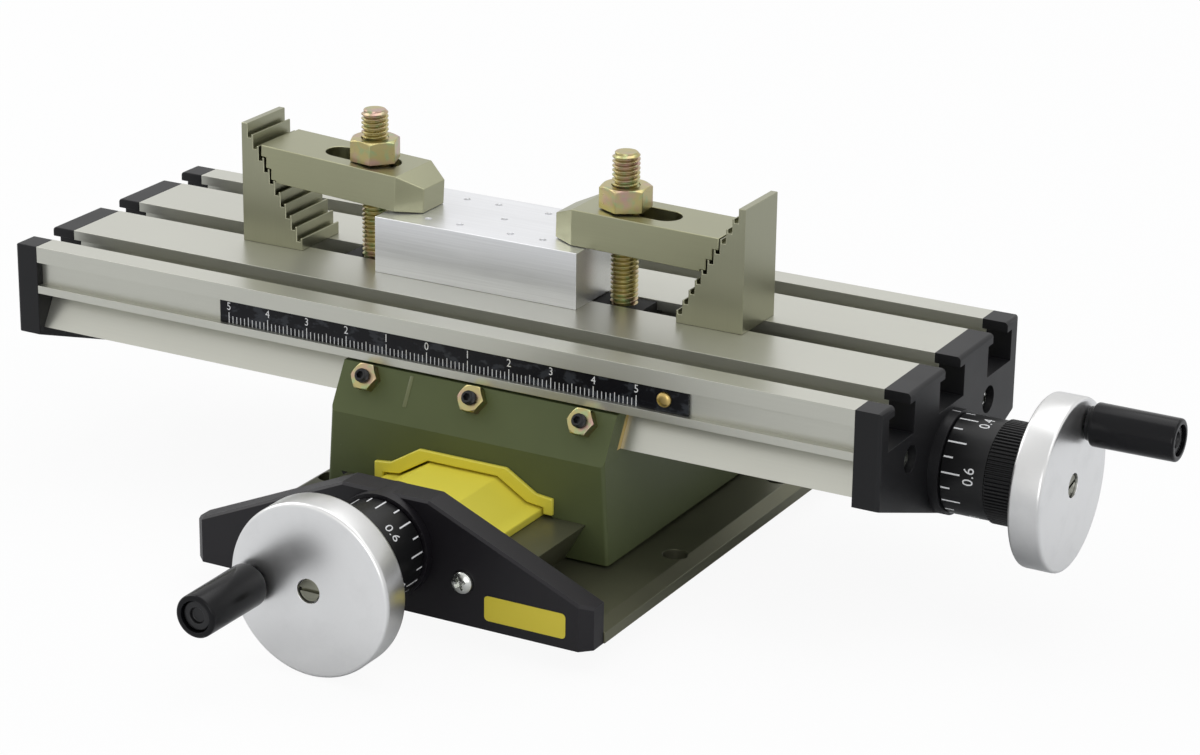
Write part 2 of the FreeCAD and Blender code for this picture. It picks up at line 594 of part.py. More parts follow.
def make_saddle():
    """The saddle casting: a table slideway on top, the base's slideway crossing below."""
    body = new_body("saddle")
    above_foot = f"({SADDLE_TOP} - {TABLE_FOOT}) / sizes.flank_slope"
    wall = f"{TABLE_FLANK} + sizes.flank_gap"
    outline = [
        (RAIL_HALF, SADDLE_TOP),
        (SADDLE_HALF, BEND),
        (SADDLE_HALF, SADDLE_FOOT),
        (f"-{SADDLE_HALF}", SADDLE_FOOT),
        (f"-{SADDLE_HALF}", BEND),
        (f"-{RAIL_HALF}", SADDLE_TOP),
        (f"-({wall} + sizes.gib_width - {above_foot})", SADDLE_TOP),
        (f"-({wall} + sizes.gib_width)", FLOOR),
        (wall, FLOOR),
        (f"{wall} - {above_foot}", SADDLE_TOP),
    ]
    pad(body, draw_loop(new_sketch(body, "YZ_Plane"), outline), "sizes.saddle_foot_width")
    above = f"{SADDLE_TOP} + sizes.overshoot"
    for side in (1, -1):
        slim = f"{side} * sizes.saddle_width / 2"
        wide = f"{side} * sizes.saddle_foot_width / 2"
        outside = f"{side} * sizes.saddle_foot_width"
        taper = [
            (slim, above),
            (slim, BEND),
            (wide, SADDLE_FOOT),
            (outside, SADDLE_FOOT),
            (outside, above),
        ]
        pocket(body, draw_loop(new_sketch(body, "XZ_Plane"), taper))
    upright = number(SADDLE_HALF)

    def corner(edge):
        low, high = edge.BoundBox.ZMin, edge.BoundBox.ZMax
        outside = abs(abs(edge.CenterOfMass.y) - upright) < NEAR
        return outside and high - low > number("sizes.shoulder_drop")

    round_edges(body, "sizes.saddle_round", corner)
    below = f"({LAND} - {SADDLE_FOOT} + sizes.overshoot) / sizes.flank_slope"
    under = f"{SADDLE_FOOT} - sizes.overshoot"
    flank = "sizes.dovetail_half + sizes.flank_gap"
    arch = arch_outline("sizes.cover_gap", ROOF)
    right = [(f"{flank} - {below}", under), (flank, ROOF)]
    left = [
        (f"-({flank} + sizes.gib_width)", ROOF),
        (f"-({flank} + sizes.gib_width - {below})", under),
    ]
    pocket(body, draw_loop(new_sketch(body, "XZ_Plane"), right + arch + left))
    bottom = f"({X_AXIS} - sizes.spindle_channel_drop)"
    open_top = f"{FLOOR} + sizes.overshoot"
    channel = mirrored([("sizes.spindle_channel_half", open_top), ("sizes.spindle_channel_half", bottom)])
    pocket(body, draw_loop(new_sketch(body, "YZ_Plane"), channel))
    place(body, ON_SADDLE)
    nut_size = ("sizes.nut_length", "2 * sizes.nut_half", f"{open_top} - {bottom}")
    seat = box(nut_size, ("-sizes.nut_length / 2", f"{TABLE_Y} - sizes.nut_half", bottom))
    keep(cut(body, [seat, liner_seat()] + gib_screw_holes() + nut_screws("holes")), "saddle")


def arch_outline(offset, foot, lift="0"):
    """The six-sided arch over the saddle spindle, right foot to left foot."""
    top = f"{LAND} + sizes.cover_top + {offset}"
    step = f"{LAND} + sizes.cover_step + {offset}"
    half = f"{offset} / 2"
    return mirrored([
        (f"sizes.cover_half + {offset}", f"{foot} + {lift}"),
        (f"sizes.cover_half + {offset}", f"{step} - sizes.cover_gap"),
        (f"sizes.cover_slope_half + {half}", step),
        (f"sizes.cover_top_half + {half}", top),
    ])


def liner_seat():
    """The space that the liner's sleeve takes in the saddle's front wall."""
    body = new_body("liner_seat")
    outline = arch_outline("sizes.cover_gap + sizes.liner_wall + sizes.bore_gap", ROOF)
    depth = "sizes.liner_depth + sizes.overshoot"
    pad(body, draw_loop(new_sketch(body, "XZ_Plane"), outline), depth, "One side", True)
    return place(body, ("0", f"{TABLE_Y} - {SADDLE_HALF} - sizes.overshoot", "0"))


def make_cover_liner():
    """The liner of the saddle's front opening: a sleeve with a bead round its mouth."""
    body = new_body("cover_liner")
    inner = list(reversed(arch_outline("sizes.cover_gap", ROOF, "sizes.liner_lift")))
    sleeve = "sizes.cover_gap + sizes.liner_wall"
    outer = arch_outline(sleeve, ROOF, "sizes.liner_lift")
    bead = arch_outline(f"{sleeve} + sizes.bead_lap", ROOF, "sizes.liner_lift")
    pad(body, draw_loop(new_sketch(body, "XZ_Plane"), outer + inner), "sizes.liner_depth", "One side", True)
    pad(body, draw_loop(new_sketch(body, "XZ_Plane"), bead + inner), "sizes.bead_proud", "One side")
    keep(place(body, ("0", f"{TABLE_Y} - {SADDLE_HALF}", "0")), "cover_liner")


def gib_screw_rows():
    """Places of the gib screws along a slideway."""
    return [f"{i} * sizes.gib_screw_pitch" for i in (-1, 0, 1)]


def upper_screw(x, outward):
    """A point on the axis of an upper gib screw, so far out of the saddle's slope."""
    down = "sizes.gib_screw_place"
    y = f"{TABLE_Y} - {RAIL_HALF} - cos(sizes.flank_angle) * {down} - sin(sizes.flank_angle) * ({outward})"
    z = f"{SADDLE_TOP} - sin(sizes.flank_angle) * {down} + cos(sizes.flank_angle) * ({outward})"
    return (x, y, z)


UPPER_TURN = Turn(X, number("sizes.flank_angle"))
UPPER_WALL = f"(({RAIL_HALF} - ({TABLE_FLANK} + sizes.flank_gap + sizes.gib_width"
UPPER_WALL += f" - ({SADDLE_TOP} - {TABLE_FOOT}) / sizes.flank_slope)) * sin(sizes.flank_angle))"
LOWER_TURN = Turn(Y, -90)
LOWER_TIP = "(sizes.dovetail_half + sizes.flank_gap + sizes.gib_width"
LOWER_TIP += " - (sizes.gib_screw_drop - sizes.gib_screw_radius) / sizes.flank_slope + sizes.gib_screw_gap)"
LOWER_SEAT = "(sizes.saddle_foot_width / 2 - sizes.gib_seat_sink)"


def lower_screw(y, across):
    """A point on the axis of a lower gib screw, so far left of the centre line."""
    return (f"-({across})", f"{TABLE_Y} + {y}", f"{LAND} - sizes.gib_screw_drop")


def gib_screw_holes():
    """Tools that drill the saddle for its gib screws and face the lower nuts' seats."""
    radius = "sizes.gib_screw_radius + sizes.fit_gap"
    tools = []
    for row in gib_screw_rows():
        depth = f"{UPPER_WALL} + sizes.overshoot"
        length = f"{depth} + sizes.overshoot"
        tools.append(cylinder(radius, length, upper_screw(row, f"-({depth})"), UPPER_TURN))
        start = f"{LOWER_TIP} - 2 * sizes.overshoot"
        tools.append(cylinder(radius, "sizes.saddle_foot_width / 4", lower_screw(row, start), LOWER_TURN))
        reach = "sizes.gib_seat_sink + sizes.overshoot"
        tools.append(cylinder("sizes.gib_seat_radius", reach, lower_screw(row, LOWER_SEAT), LOWER_TURN))
    return tools


def make_gib(name, flank, low, high, land, side_role, length, at):
    """A gib strip: a slanting bar that lies against a dovetail's flank."""
    body = new_body(name)
    inner = f"{flank} + sizes.flank_gap"
    outer = f"{inner} + sizes.gib_width - sizes.fit_gap"
    lean_low = f"({low} - {land}) / sizes.flank_slope"
    lean_high = f"({high} - {land}) / sizes.flank_slope"
    sign = 1 if side_role == "XZ_Plane" else -1
    outline = [
        (f"-({inner} + {sign} * {lean_low})", low),
        (f"-({inner} + {sign} * {lean_high})", high),
        (f"-({outer} + {sign} * {lean_high})", high),
        (f"-({outer} + {sign} * {lean_low})", low),
    ]
    pad(body, draw_loop(new_sketch(body, side_role), outline), length)
    keep(place(body, at), name)


def make_gibs():
    """Both gib strips, their set screws and the lock nuts."""
    above_floor = f"({FLOOR} + sizes.gib_end_gap)"
    below_top = f"({SADDLE_TOP} - sizes.gib_edge_gap)"
    make_gib("x_gib_strip", TABLE_FLANK, above_floor, below_top, TABLE_FOOT, "YZ_Plane",
             "sizes.saddle_width", ON_SADDLE)
    above_foot = f"({SADDLE_FOOT} + sizes.gib_edge_gap)"
    below_roof = f"({ROOF} - sizes.gib_end_gap)"
    make_gib("y_gib_strip", "sizes.dovetail_half", above_foot, below_roof, LAND, "XZ_Plane",
             f"2 * {SADDLE_HALF}", ON_SADDLE)
    upper_screws, upper_nuts, lower_screws, lower_nuts = [], [], [], []
    proud = "sizes.gib_nut_height + sizes.gib_screw_stick"
    lower_length = f"{LOWER_SEAT} - {LOWER_TIP} + {proud}"
    socket_length = "sizes.gib_socket_depth + sizes.overshoot"
    for row in gib_screw_rows():
        rod = cylinder("sizes.gib_screw_radius", f"{UPPER_WALL} + {proud}",
                       upper_screw(row, f"-{UPPER_WALL}"), UPPER_TURN)
        mouth = f"{proud} - sizes.gib_socket_depth"
        socket = cylinder("sizes.gib_socket_radius", socket_length, upper_screw(row, mouth), UPPER_TURN)
        upper_screws.append(cut(rod, [socket]))
        nut = hexagon("sizes.gib_nut_flats", "sizes.gib_nut_height", upper_screw(row, "0"), UPPER_TURN)
        hole = cylinder("sizes.gib_screw_radius", "sizes.gib_nut_height", upper_screw(row, "0"), UPPER_TURN)
        upper_nuts.append(cut(nut, [hole]))
        rod = cylinder("sizes.gib_screw_radius", lower_length, lower_screw(row, LOWER_TIP), LOWER_TURN)
        mouth = f"{LOWER_SEAT} + {proud} - sizes.gib_socket_depth"
        socket = cylinder("sizes.gib_socket_radius", socket_length, lower_screw(row, mouth), LOWER_TURN)
        lower_screws.append(cut(rod, [socket]))
        seat = lower_screw(row, LOWER_SEAT)
        nut = hexagon("sizes.gib_nut_flats", "sizes.gib_nut_height", seat, LOWER_TURN)
        hole = cylinder("sizes.gib_screw_radius", "sizes.gib_nut_height", seat, LOWER_TURN)
        lower_nuts.append(cut(nut, [hole]))
    keep(group(upper_screws), "x_gib_screws")
    keep(group(upper_nuts), "x_gib_lock_nuts")
    keep(group(lower_screws), "y_gib_screws")
    keep(group(lower_nuts), "y_gib_lock_nuts")


def make_spindle_nuts():
    """The two bronze nuts that the spindles turn in."""
    bottom = f"({X_AXIS} - sizes.spindle_channel_drop)"
    size = ("sizes.nut_length - 2 * sizes.fit_gap", "2 * (sizes.nut_half - sizes.fit_gap)",
            "sizes.spindle_channel_drop + sizes.nut_rise")
    at = ("-sizes.nut_length / 2 + sizes.fit_gap", f"{TABLE_Y} - sizes.nut_half + sizes.fit_gap", bottom)
    block = box(size, at)
    bore = cylinder(THREAD_BORE, "2 * sizes.nut_length", ("-sizes.nut_length", TABLE_Y, X_AXIS), Turn(Y, 90))
    keep(cut(block, [bore]), "x_spindle_nut")
    top = f"({LAND} + sizes.cover_top + sizes.cover_gap)"
    middle = f"({TABLE_Y} + sizes.y_nut_place)"
    low = f"({Y_AXIS} - sizes.y_nut_drop)"
    size = ("2 * sizes.y_nut_half", "sizes.nut_length", f"{top} - {low}")
    block = box(size, ("-sizes.y_nut_half", f"{middle} - sizes.nut_length / 2", low))
    start = ("0", f"{middle} + sizes.nut_length", Y_AXIS)
    bore = cylinder(THREAD_BORE, "2 * sizes.nut_length", start, Turn(X, 90))
    keep(cut(block, [bore] + nut_screws("tapped")), "y_spindle_nut")
    keep(group(nut_screws("screws")), "y_nut_screws")


def nut_screws(what):
    """The countersunk screws from the saddle's floor into the lower nut, or their holes."""
    made = []
    for side in (-1, 1):
        at_y = f"{TABLE_Y} + sizes.y_nut_place + {side} * sizes.nut_screw_pitch / 2"
        head = f"{FLOOR} - sizes.nut_screw_sink"
        foot = ("0", at_y, f"{head} - sizes.nut_screw_length")
        shank = cylinder("sizes.screw_shank", "sizes.nut_screw_length", foot)
        cone = doc.addObject("Part::Cone", "countersink")
        bind(cone, Radius1="sizes.screw_shank", Radius2="2 * sizes.screw_shank", Height="sizes.screw_shank")
        place(cone, ("0", at_y, f"{head} - sizes.screw_shank"))
        lid = cylinder("2 * sizes.screw_shank", "sizes.overshoot", ("0", at_y, head))
        if what == "holes":
            made.append(join([shank, cone, lid]))
        elif what == "tapped":
            made.append(shank)
        else:
            made.append(join([shank, cone]))
    return made


def make_base():
    """The base: one extrusion with flanges, a dovetail, a spindle channel and ports."""
    body = new_body("base")
    half = "sizes.base_width / 2"
    root = f"sizes.dovetail_half - ({LAND} - sizes.base_flange) / sizes.flank_slope"
    right = [
        (half, "0"),
        (half, "sizes.base_flange - sizes.bevel_height"),
        (f"{half} - sizes.bevel_width", "sizes.base_flange"),
        (root, "sizes.base_flange"),
        ("sizes.dovetail_half", LAND),
        ("sizes.base_channel_half", LAND),
        ("sizes.base_channel_half", "sizes.base_channel_floor"),
    ]
    sketch = draw_loop(new_sketch(body, "XZ_Plane"), mirrored(right))
    for side in ("", "-"):
        draw_circle(sketch, f"{side}sizes.plate_screw_x", "sizes.plate_screw_z", "sizes.port_radius")
    pad(body, sketch, f"2 * {BASE_HALF}")
    holes = new_sketch(body, "XY_Plane")
    for across in ("", "-"):
        for along in ("", "-"):
            bolt = (f"{across}(sizes.base_width / 2 - sizes.bolt_edge)", f"{along}sizes.bolt_spacing_y / 2")
            draw_circle(holes, bolt[0], bolt[1], "sizes.bolt_radius")
    pocket(body, holes)
    keep(place(body, ON_BASE), "base_plate")


def make_front_plate():
    """The front plate: a gabled plate that carries the saddle spindle's bearing."""
    body = new_body("front_plate")
    right = [
        ("sizes.plate_half", "0"),
        ("sizes.plate_half", "sizes.plate_end"),
        ("sizes.plate_peak_half", "sizes.plate_peak"),
    ]
    pad(body, draw_loop(new_sketch(body, "XZ_Plane"), mirrored(right)), "sizes.plate_thickness", "One side")
    front = -number("sizes.plate_thickness")

    def upright_corner(edge):
        middle = edge.CenterOfMass
        on_side = abs(abs(middle.x) - number("sizes.plate_half")) < NEAR
        return abs(middle.y - front) < NEAR and on_side

    def top_edge(edge):
        middle = edge.CenterOfMass
        in_front = middle.y < front + number("sizes.plate_corner") - NEAR
        start = edge.Vertexes[0].Point
        end = edge.Vertexes[-1].Point
        return in_front and middle.z > NEAR and abs(start.x - end.x) > NEAR

    dress_edges(body, "PartDesign::Chamfer", "Size", "sizes.plate_corner", upright_corner)
    dress_edges(body, "PartDesign::Chamfer", "Size", "sizes.plate_bevel", top_edge)
    place(body, ("0", f"-{BASE_HALF}", "0"))
    front_face = f"-{PLATE_FACE}"
    axis = ("0", f"-{BASE_HALF}", Y_AXIS)
    along = Turn(X, 90)
    boss = cylinder("sizes.y_boss_radius", "sizes.plate_thickness + sizes.y_boss", axis, along)
    recess = new_body("bead_recess")
    outline = arch_outline("sizes.cover_gap + sizes.liner_wall + sizes.bead_lap + sizes.bead_gap", "0")
    pad(recess, draw_loop(new_sketch(recess, "XZ_Plane"), outline), "sizes.bead_recess", "One side")
    place(recess, ("0", f"-{BASE_HALF}", "0"))
    keeper = cylinder("sizes.collar_radius + sizes.keeper_wall", "sizes.bead_recess", axis, along)
    tools = [
        cut(recess, [keeper]),
        cylinder(JOURNAL_BORE, "sizes.plate_thickness + sizes.y_boss + sizes.overshoot", axis, along),
        cylinder(COLLAR_BORE, "sizes.collar_sink", axis, along),
    ]
    for side in (1, -1):
        x = f"{side} * sizes.plate_screw_x"
        sink = (x, f"{front_face} + sizes.plate_screw_sink", "sizes.plate_screw_z")
        hole = (x, f"-{BASE_HALF}", "sizes.plate_screw_z")
        mouth = cylinder("sizes.plate_screw_head + sizes.head_gap",
                         "sizes.plate_screw_sink + sizes.overshoot", sink, along)
        tools.append(mouth)
        tools.append(cylinder("sizes.port_radius + sizes.bore_gap", "sizes.plate_thickness", hole, along))
    keep(cut(join([body, boss]), tools), "front_plate")
    screws = []
    for side in (1, -1):
        seat = (f"{side} * sizes.plate_screw_x", f"{front_face} + sizes.plate_screw_sink",
                "sizes.plate_screw_z")
        screws.append(port_screw("sizes.plate_screw_head", seat, Turn(X, 90)))
    keep(group(screws), "front_plate_screws")


def make_spindle_cover():
    """The cover over the saddle spindle: an open six-sided arch on the base's lands."""
    body = new_body("spindle_cover")
    outer = arch_outline("0", LAND)
    top = f"{LAND} + sizes.cover_top - sizes.cover_wall"
    step = f"{LAND} + sizes.cover_step - sizes.cover_wall"
    inner = mirrored([
        ("sizes.base_channel_half", LAND),
        ("sizes.base_channel_half", step),
        ("sizes.cover_slope_half - sizes.cover_wall * 0.6", step),
        ("sizes.cover_top_half - sizes.cover_wall * 0.6", top),
    ])
    outline = outer + list(reversed(inner))
    pad(body, draw_loop(new_sketch(body, "XZ_Plane"), outline), "sizes.cover_length", "One side", True)
    keep(place(body, ("0", f"-{BASE_HALF}", "0")), "spindle_cover")


def make_feed(prefix, boss_face, axis_y, axis_z, turn, grip_turn, inner_length, wall):
    """One spindle with its handwheel, dial ring and grip.

    Everything is turned round the local X axis, with x = 0 at the face of the boss and
    +x outwards. The wall is what the journal passes through, boss included.
    """
    at = (boss_face, axis_y, axis_z) if prefix == "x" else (axis_y, boss_face, axis_z)
    dial_end = f"sizes.dial_gap + sizes.{prefix}_dial_length"
    rim = f"({dial_end} + sizes.dial_gap)"
    face = f"({rim} + sizes.wheel_width)"
    spindle_end = f"({face} - sizes.screw_hole_depth - sizes.wheel_web)"
    inner_end = f"-({inner_length})"
    collar_in = f"-({wall})"
    collar_out = f"-({wall} - sizes.collar_sink + sizes.bore_gap)"
    far_journal = f"{inner_end} + sizes.rear_bore_depth"
    spindle = turned(f"{prefix}_spindle", [
        (inner_end, "0"),
        (inner_end, "sizes.journal_radius"),
        (far_journal, "sizes.journal_radius"),
        (far_journal, "sizes.thread_radius"),
        (collar_in, "sizes.thread_radius"),
        (collar_in, "sizes.collar_radius"),
        (collar_out, "sizes.collar_radius"),
        (collar_out, "sizes.journal_radius"),
        (spindle_end, "sizes.journal_radius"),
        (spindle_end, "sizes.screw_shank"),
        (f"{spindle_end} - sizes.screw_reach", "sizes.screw_shank"),
        (f"{spindle_end} - sizes.screw_reach", "0"),
    ])
    keep(place(spindle, at, turn), f"{prefix}_spindle")
    bore = "(sizes.journal_radius + sizes.fit_gap)"
    shank_bore = "(sizes.screw_shank + 2 * sizes.bore_gap)"
    wheel = turned(f"{prefix}_handwheel", [
        ("sizes.bore_gap", bore),
        ("sizes.bore_gap", "sizes.hub_radius"),
        (rim, "sizes.hub_radius"),
        (rim, "sizes.wheel_radius"),
        (face, "sizes.wheel_radius"),
        (face, "sizes.screw_hole"),
        (f"{face} - sizes.screw_hole_depth", "sizes.screw_hole"),
        (f"{face} - sizes.screw_hole_depth", shank_bore),
        (spindle_end, shank_bore),
        (spindle_end, bore),
    ])
    widest = number("sizes.wheel_radius")

    def rim_edge(edge):
        curve = edge.Curve
        return isinstance(curve, Part.Circle) and abs(curve.Radius - widest) < NEAR

    round_edges(wheel, "sizes.wheel_round", rim_edge)
    place(wheel, at, turn)
    out = turn.multVec(X)
    aside = turn.multiply(grip_turn).multVec(Z)

    def along(distance):
        """A place on the grip's axis, so far out from the boss."""
        return tuple(
            f"{place_on} + {out_part:.6f} * ({distance}) + {aside_part:.6f} * sizes.grip_offset"
            for place_on, out_part, aside_part in zip(at, out, aside)
        )

    outwards = Turn(Z, out)
    root = cylinder("sizes.screw_shank + sizes.fit_gap", "sizes.pin_root + sizes.overshoot",
                    along(f"{face} - sizes.pin_root"), outwards)
    keep(cut(wheel, [root]), f"{prefix}_handwheel")
    make_wheel_screw(prefix, at, turn, face, out)
    make_grip(prefix, along, face, turn)
    ring = turned(f"{prefix}_dial_ring", [
        ("sizes.dial_gap", "sizes.hub_radius + sizes.bore_gap"),
        ("sizes.dial_gap", "sizes.dial_radius"),
        (f"{dial_end} - sizes.knurl_length", "sizes.dial_radius"),
        (f"{dial_end} - sizes.knurl_length", "sizes.knurl_radius"),
        (dial_end, "sizes.knurl_radius"),
        (dial_end, "sizes.hub_radius + sizes.bore_gap"),
    ])
    keep(place(ring, at, turn), f"{prefix}_dial_ring")


def make_wheel_screw(prefix, at, turn, face, out):
    """The slotted screw that holds a handwheel on its spindle."""
    seat = f"({face} - sizes.screw_hole_depth)"
    tip = f"({seat} - sizes.screw_reach)"
    top = f"({seat} + sizes.screw_head_height)"
    screw = turned(f"{prefix}_handwheel_screw", [
        (tip, "0"),
        (tip, "sizes.screw_shank"),
        (seat, "sizes.screw_shank"),
        (seat, "sizes.screw_head"),
        (top, "sizes.screw_head"),
        (top, "0"),
    ])
    place(screw, at, turn)
    slot = new_body(f"{prefix}_driver_slot")
    half = "sizes.driver_slot / 2"
    long = "2 * sizes.screw_head"
    outline = [(f"-{long}", f"-{half}"), (long, f"-{half}"), (long, half), (f"-{long}", half)]
    sketch = draw_loop(new_sketch(slot, "YZ_Plane", f"{top} - sizes.driver_slot"), outline)
    pad(slot, sketch, "sizes.driver_slot + sizes.overshoot", "One side")
    place(slot, at, turn)
    keep(cut(screw, [slot]), f"{prefix}_handwheel_screw")


def make_grip(prefix, along, face, turn):
    """The grip that turns on a handwheel, and the shouldered pin that holds it."""
    length = "sizes.grip_length"
    sink = f"({length} - sizes.pin_sink - sizes.pin_head_height)"
    bore = "(sizes.pin_radius + sizes.bore_gap)"
    grip = turned(f"{prefix}_grip", [
        ("0", bore),
        ("0", "sizes.grip_neck"),
        ("sizes.grip_neck_length", "sizes.grip_neck"),
        ("sizes.grip_neck_length", "sizes.grip_radius"),
        (length, "sizes.grip_radius"),
        (length, "sizes.pin_head + sizes.pin_head_gap"),
        (f"{sink} - sizes.pin_seat_gap", "sizes.pin_head + sizes.pin_head_gap"),
        (f"{sink} - sizes.pin_seat_gap", bore),
    ])
    widest = number("sizes.grip_radius")

    def end_edge(edge):
        curve = edge.Curve
        return isinstance(curve, Part.Circle) and abs(curve.Radius - widest) < NEAR

    round_edges(grip, "sizes.grip_round", end_edge)
    keep(place(grip, along(f"{face} + sizes.grip_gap"), turn), f"{prefix}_handwheel_grip")
    shoulder = "-sizes.grip_gap"
    root = f"{shoulder} - sizes.pin_root + sizes.pin_root_gap"
    pin = turned(f"{prefix}_grip_pin", [
        (root, "0"),
        (root, "sizes.screw_shank"),
        (shoulder, "sizes.screw_shank"),
        (shoulder, "sizes.pin_radius"),
        (sink, "sizes.pin_radius"),
        (sink, "sizes.pin_head"),
        (f"{sink} + sizes.pin_head_height", "sizes.pin_head"),
        (f"{sink} + sizes.pin_head_height", "0"),
    ])
    keep(place(pin, along(f"{face} + sizes.grip_gap"), turn), f"{prefix}_grip_pin")


def make_step_block(name, foot, side):
    """A step block: a wedge of grooved steps that rise away from the work block."""
    body = new_body(name)
    points = [("0", "0")]
    for step in range(STEP_COUNT + 1):
        lip = f"-sizes.step_run * {step}"
        level = f"sizes.step_first + sizes.step_rise * {step}"
        points.append((lip, level))
        if step < STEP_COUNT:
            groove = f"{level} - sizes.step_groove"
            points.append((f"{lip} - sizes.step_lip", level))
            points.append((f"{lip} - sizes.step_lip", groove))
            points.append((f"-sizes.step_run * {step + 1}", groove))
    back = f"-(sizes.step_run * {STEP_COUNT} + sizes.step_tip)"
    points.append((back, f"sizes.step_first + sizes.step_rise * {STEP_COUNT}"))
    points.append((back, "0"))
    pad(body, draw_loop(new_sketch(body, "XZ_Plane"), points), "sizes.clamp_width")
    turn = Turn(Z, 0 if side < 0 else 180)
    at = (f"{TABLE_X} + {foot}", f"{TABLE_Y} + sizes.clamp_shift", TABLE_TOP)
    keep(place(body, at, turn), name)


def strap_tilt(foot, side, step):
    """The tilt of a strap in degrees, from its tooth on a step to where its nose rests."""
    heel_z = f"(sizes.step_first + sizes.step_rise * {step} - sizes.strap_tooth)"
    heel_x = f"({foot} + {side} * (sizes.step_run * {step} - sizes.strap_gap))"
    if step == LEFT_STEP:
        reach = "sizes.strap_length"
        return f"asin(({heel_z} - sizes.work_height) / {reach})"
    edge = f"(sizes.work_x + {side} * sizes.work_length / 2)"
    return f"asin(({heel_z} - sizes.work_height) / ({side} * ({heel_x} - {edge})))"


def tilted(thing, at, side, tilt):
    """Place a strap or its slot, leaning round Y by an angle that follows the sheet."""
    place(thing, at, Turn(Y, number(f"-{side} * {tilt}")))
    thing.setExpression("Placement.Rotation.Angle", f"-{side} * {tilt}")
    return thing


def make_strap(name, foot, side, step):
    """A clamp strap: toothed heel on the step block, bevelled nose on the work block.

    It is drawn from its heel, so its points run the other way for the right strap.
    """
    body = new_body(name)
    shoulder = "sizes.strap_length - sizes.nose_length"
    points = [("0", "0"), ("sizes.strap_length", "0"), ("sizes.strap_length", "sizes.nose_height"),
              (shoulder, "sizes.strap_thickness")]
    points.append((f"-sizes.step_run * {STRAP_TEETH}", "sizes.strap_thickness"))
    for tooth in range(STRAP_TEETH - 1, -1, -1):
        level = f"sizes.strap_tooth + sizes.step_rise * {tooth}"
        points.append((f"-sizes.step_run * {tooth + 1}", level))
        points.append((f"-sizes.step_run * {tooth}", level))
    facing = [(f"-{side} * ({along})", up) for along, up in points]
    pad(body, draw_loop(new_sketch(body, "XZ_Plane"), facing), "sizes.clamp_width")
    for across in (1, -1):
        flat = f"{across} * (sizes.clamp_width / 2 - sizes.nose_side)"
        outside = f"{across} * (sizes.clamp_width / 2 + sizes.overshoot)"
        corner = [
            (shoulder, f"{across} * sizes.clamp_width / 2"),
            ("sizes.strap_length", flat),
            ("sizes.strap_length + sizes.overshoot", flat),
            ("sizes.strap_length + sizes.overshoot", outside),
            (shoulder, outside),
        ]
        facing = [(f"-{side} * ({along})", aside) for along, aside in corner]
        pocket(body, draw_loop(new_sketch(body, "XY_Plane"), facing))
    tilt = strap_tilt(foot, side, step)
    heel_x = f"{TABLE_X} + {foot} + {side} * (sizes.step_run * {step} - sizes.strap_gap)"
    level = f"sizes.step_first + sizes.step_rise * {step} - sizes.strap_tooth"
    at = (heel_x, f"{TABLE_Y} + sizes.clamp_shift", f"{TABLE_TOP} + {level} + sizes.seat_gap")
    tilted(body, at, side, tilt)
    half = "sizes.strap_slot_half"
    rear = f"-{side} * (sizes.strap_slot_rear + {half})"
    front = f"-{side} * (sizes.strap_slot_rear + sizes.strap_slot_length - {half})"
    slot = new_body(f"{name}_slot")
    straight = [(rear, f"-{half}"), (front, f"-{half}"), (front, half), (rear, half)]
    pad(slot, draw_loop(new_sketch(slot, "XY_Plane"), straight), "4 * sizes.strap_thickness")
    for end in (rear, front):
        pad(slot, draw_circle(new_sketch(slot, "XY_Plane"), end, "0", half), "4 * sizes.strap_thickness")
    tilted(slot, at, side, tilt)
    keep(cut(body, [slot]), name)


def make_stud_set(name, stud_x, foot, side, step):
    """A stud with its T-nut in the middle slot and its nut on the strap."""
    x = f"{TABLE_X} + {stud_x}"
    foot_z = f"{TABLE_TOP} - sizes.stud_foot"
    length = "sizes.stud_top + sizes.stud_foot"
    tip = "sizes.stud_radius - sizes.stud_bevel"
    stud = turned(f"{name}_stud", [
        ("0", "0"),
        ("0", tip),
        ("sizes.stud_bevel", "sizes.stud_radius"),
        (f"{length} - sizes.stud_bevel", "sizes.stud_radius"),
        (length, tip),
        (length, "0"),
    ])
    keep(place(stud, (x, TABLE_Y, foot_z), Turn(Y, -90)), f"{name}_stud")
    low = f"{TABLE_TOP} - sizes.slot_lip - sizes.seat_gap - sizes.tee_height"
    foot_block = box(("sizes.tee_length", "sizes.tee_width", "sizes.tee_height"),
                     (f"{x} - sizes.tee_length / 2", f"{TABLE_Y} - sizes.tee_width / 2", low))
    neck = box(("sizes.tee_length", "sizes.tee_neck",
                "sizes.tee_height + sizes.seat_gap + sizes.slot_lip - sizes.tee_below"),
               (f"{x} - sizes.tee_length / 2", f"{TABLE_Y} - sizes.tee_neck / 2", low))
    under = f"{TABLE_TOP} - 2 * sizes.slot_floor"
    hole = cylinder("sizes.stud_radius", "2 * sizes.slot_floor", (x, TABLE_Y, under))
    keep(cut(join([foot_block, neck]), [hole]), f"{name}_t_nut")
    tilt = strap_tilt(foot, side, step)
    heel_x = f"({foot} + {side} * (sizes.step_run * {step} - sizes.strap_gap))"
    heel_z = f"(sizes.step_first + sizes.step_rise * {step} - sizes.strap_tooth + sizes.seat_gap)"
    drop = f"tan({tilt}) * {side} * ({heel_x} - {stud_x})"
    seat = f"{TABLE_TOP} + {heel_z} + sizes.strap_thickness / cos({tilt}) - {drop} + sizes.nut_lift"
    nut = hexagon("sizes.nut_flats", "sizes.nut_height", (x, TABLE_Y, seat), Turn(Z, 20 if side < 0 else 5))
    under = f"{seat} - sizes.nut_height / 2"
    bore = cylinder("sizes.stud_radius + sizes.bore_gap", "2 * sizes.nut_height", (x, TABLE_Y, under))
    keep(cut(nut, [bore]), f"{name}_clamp_nut")


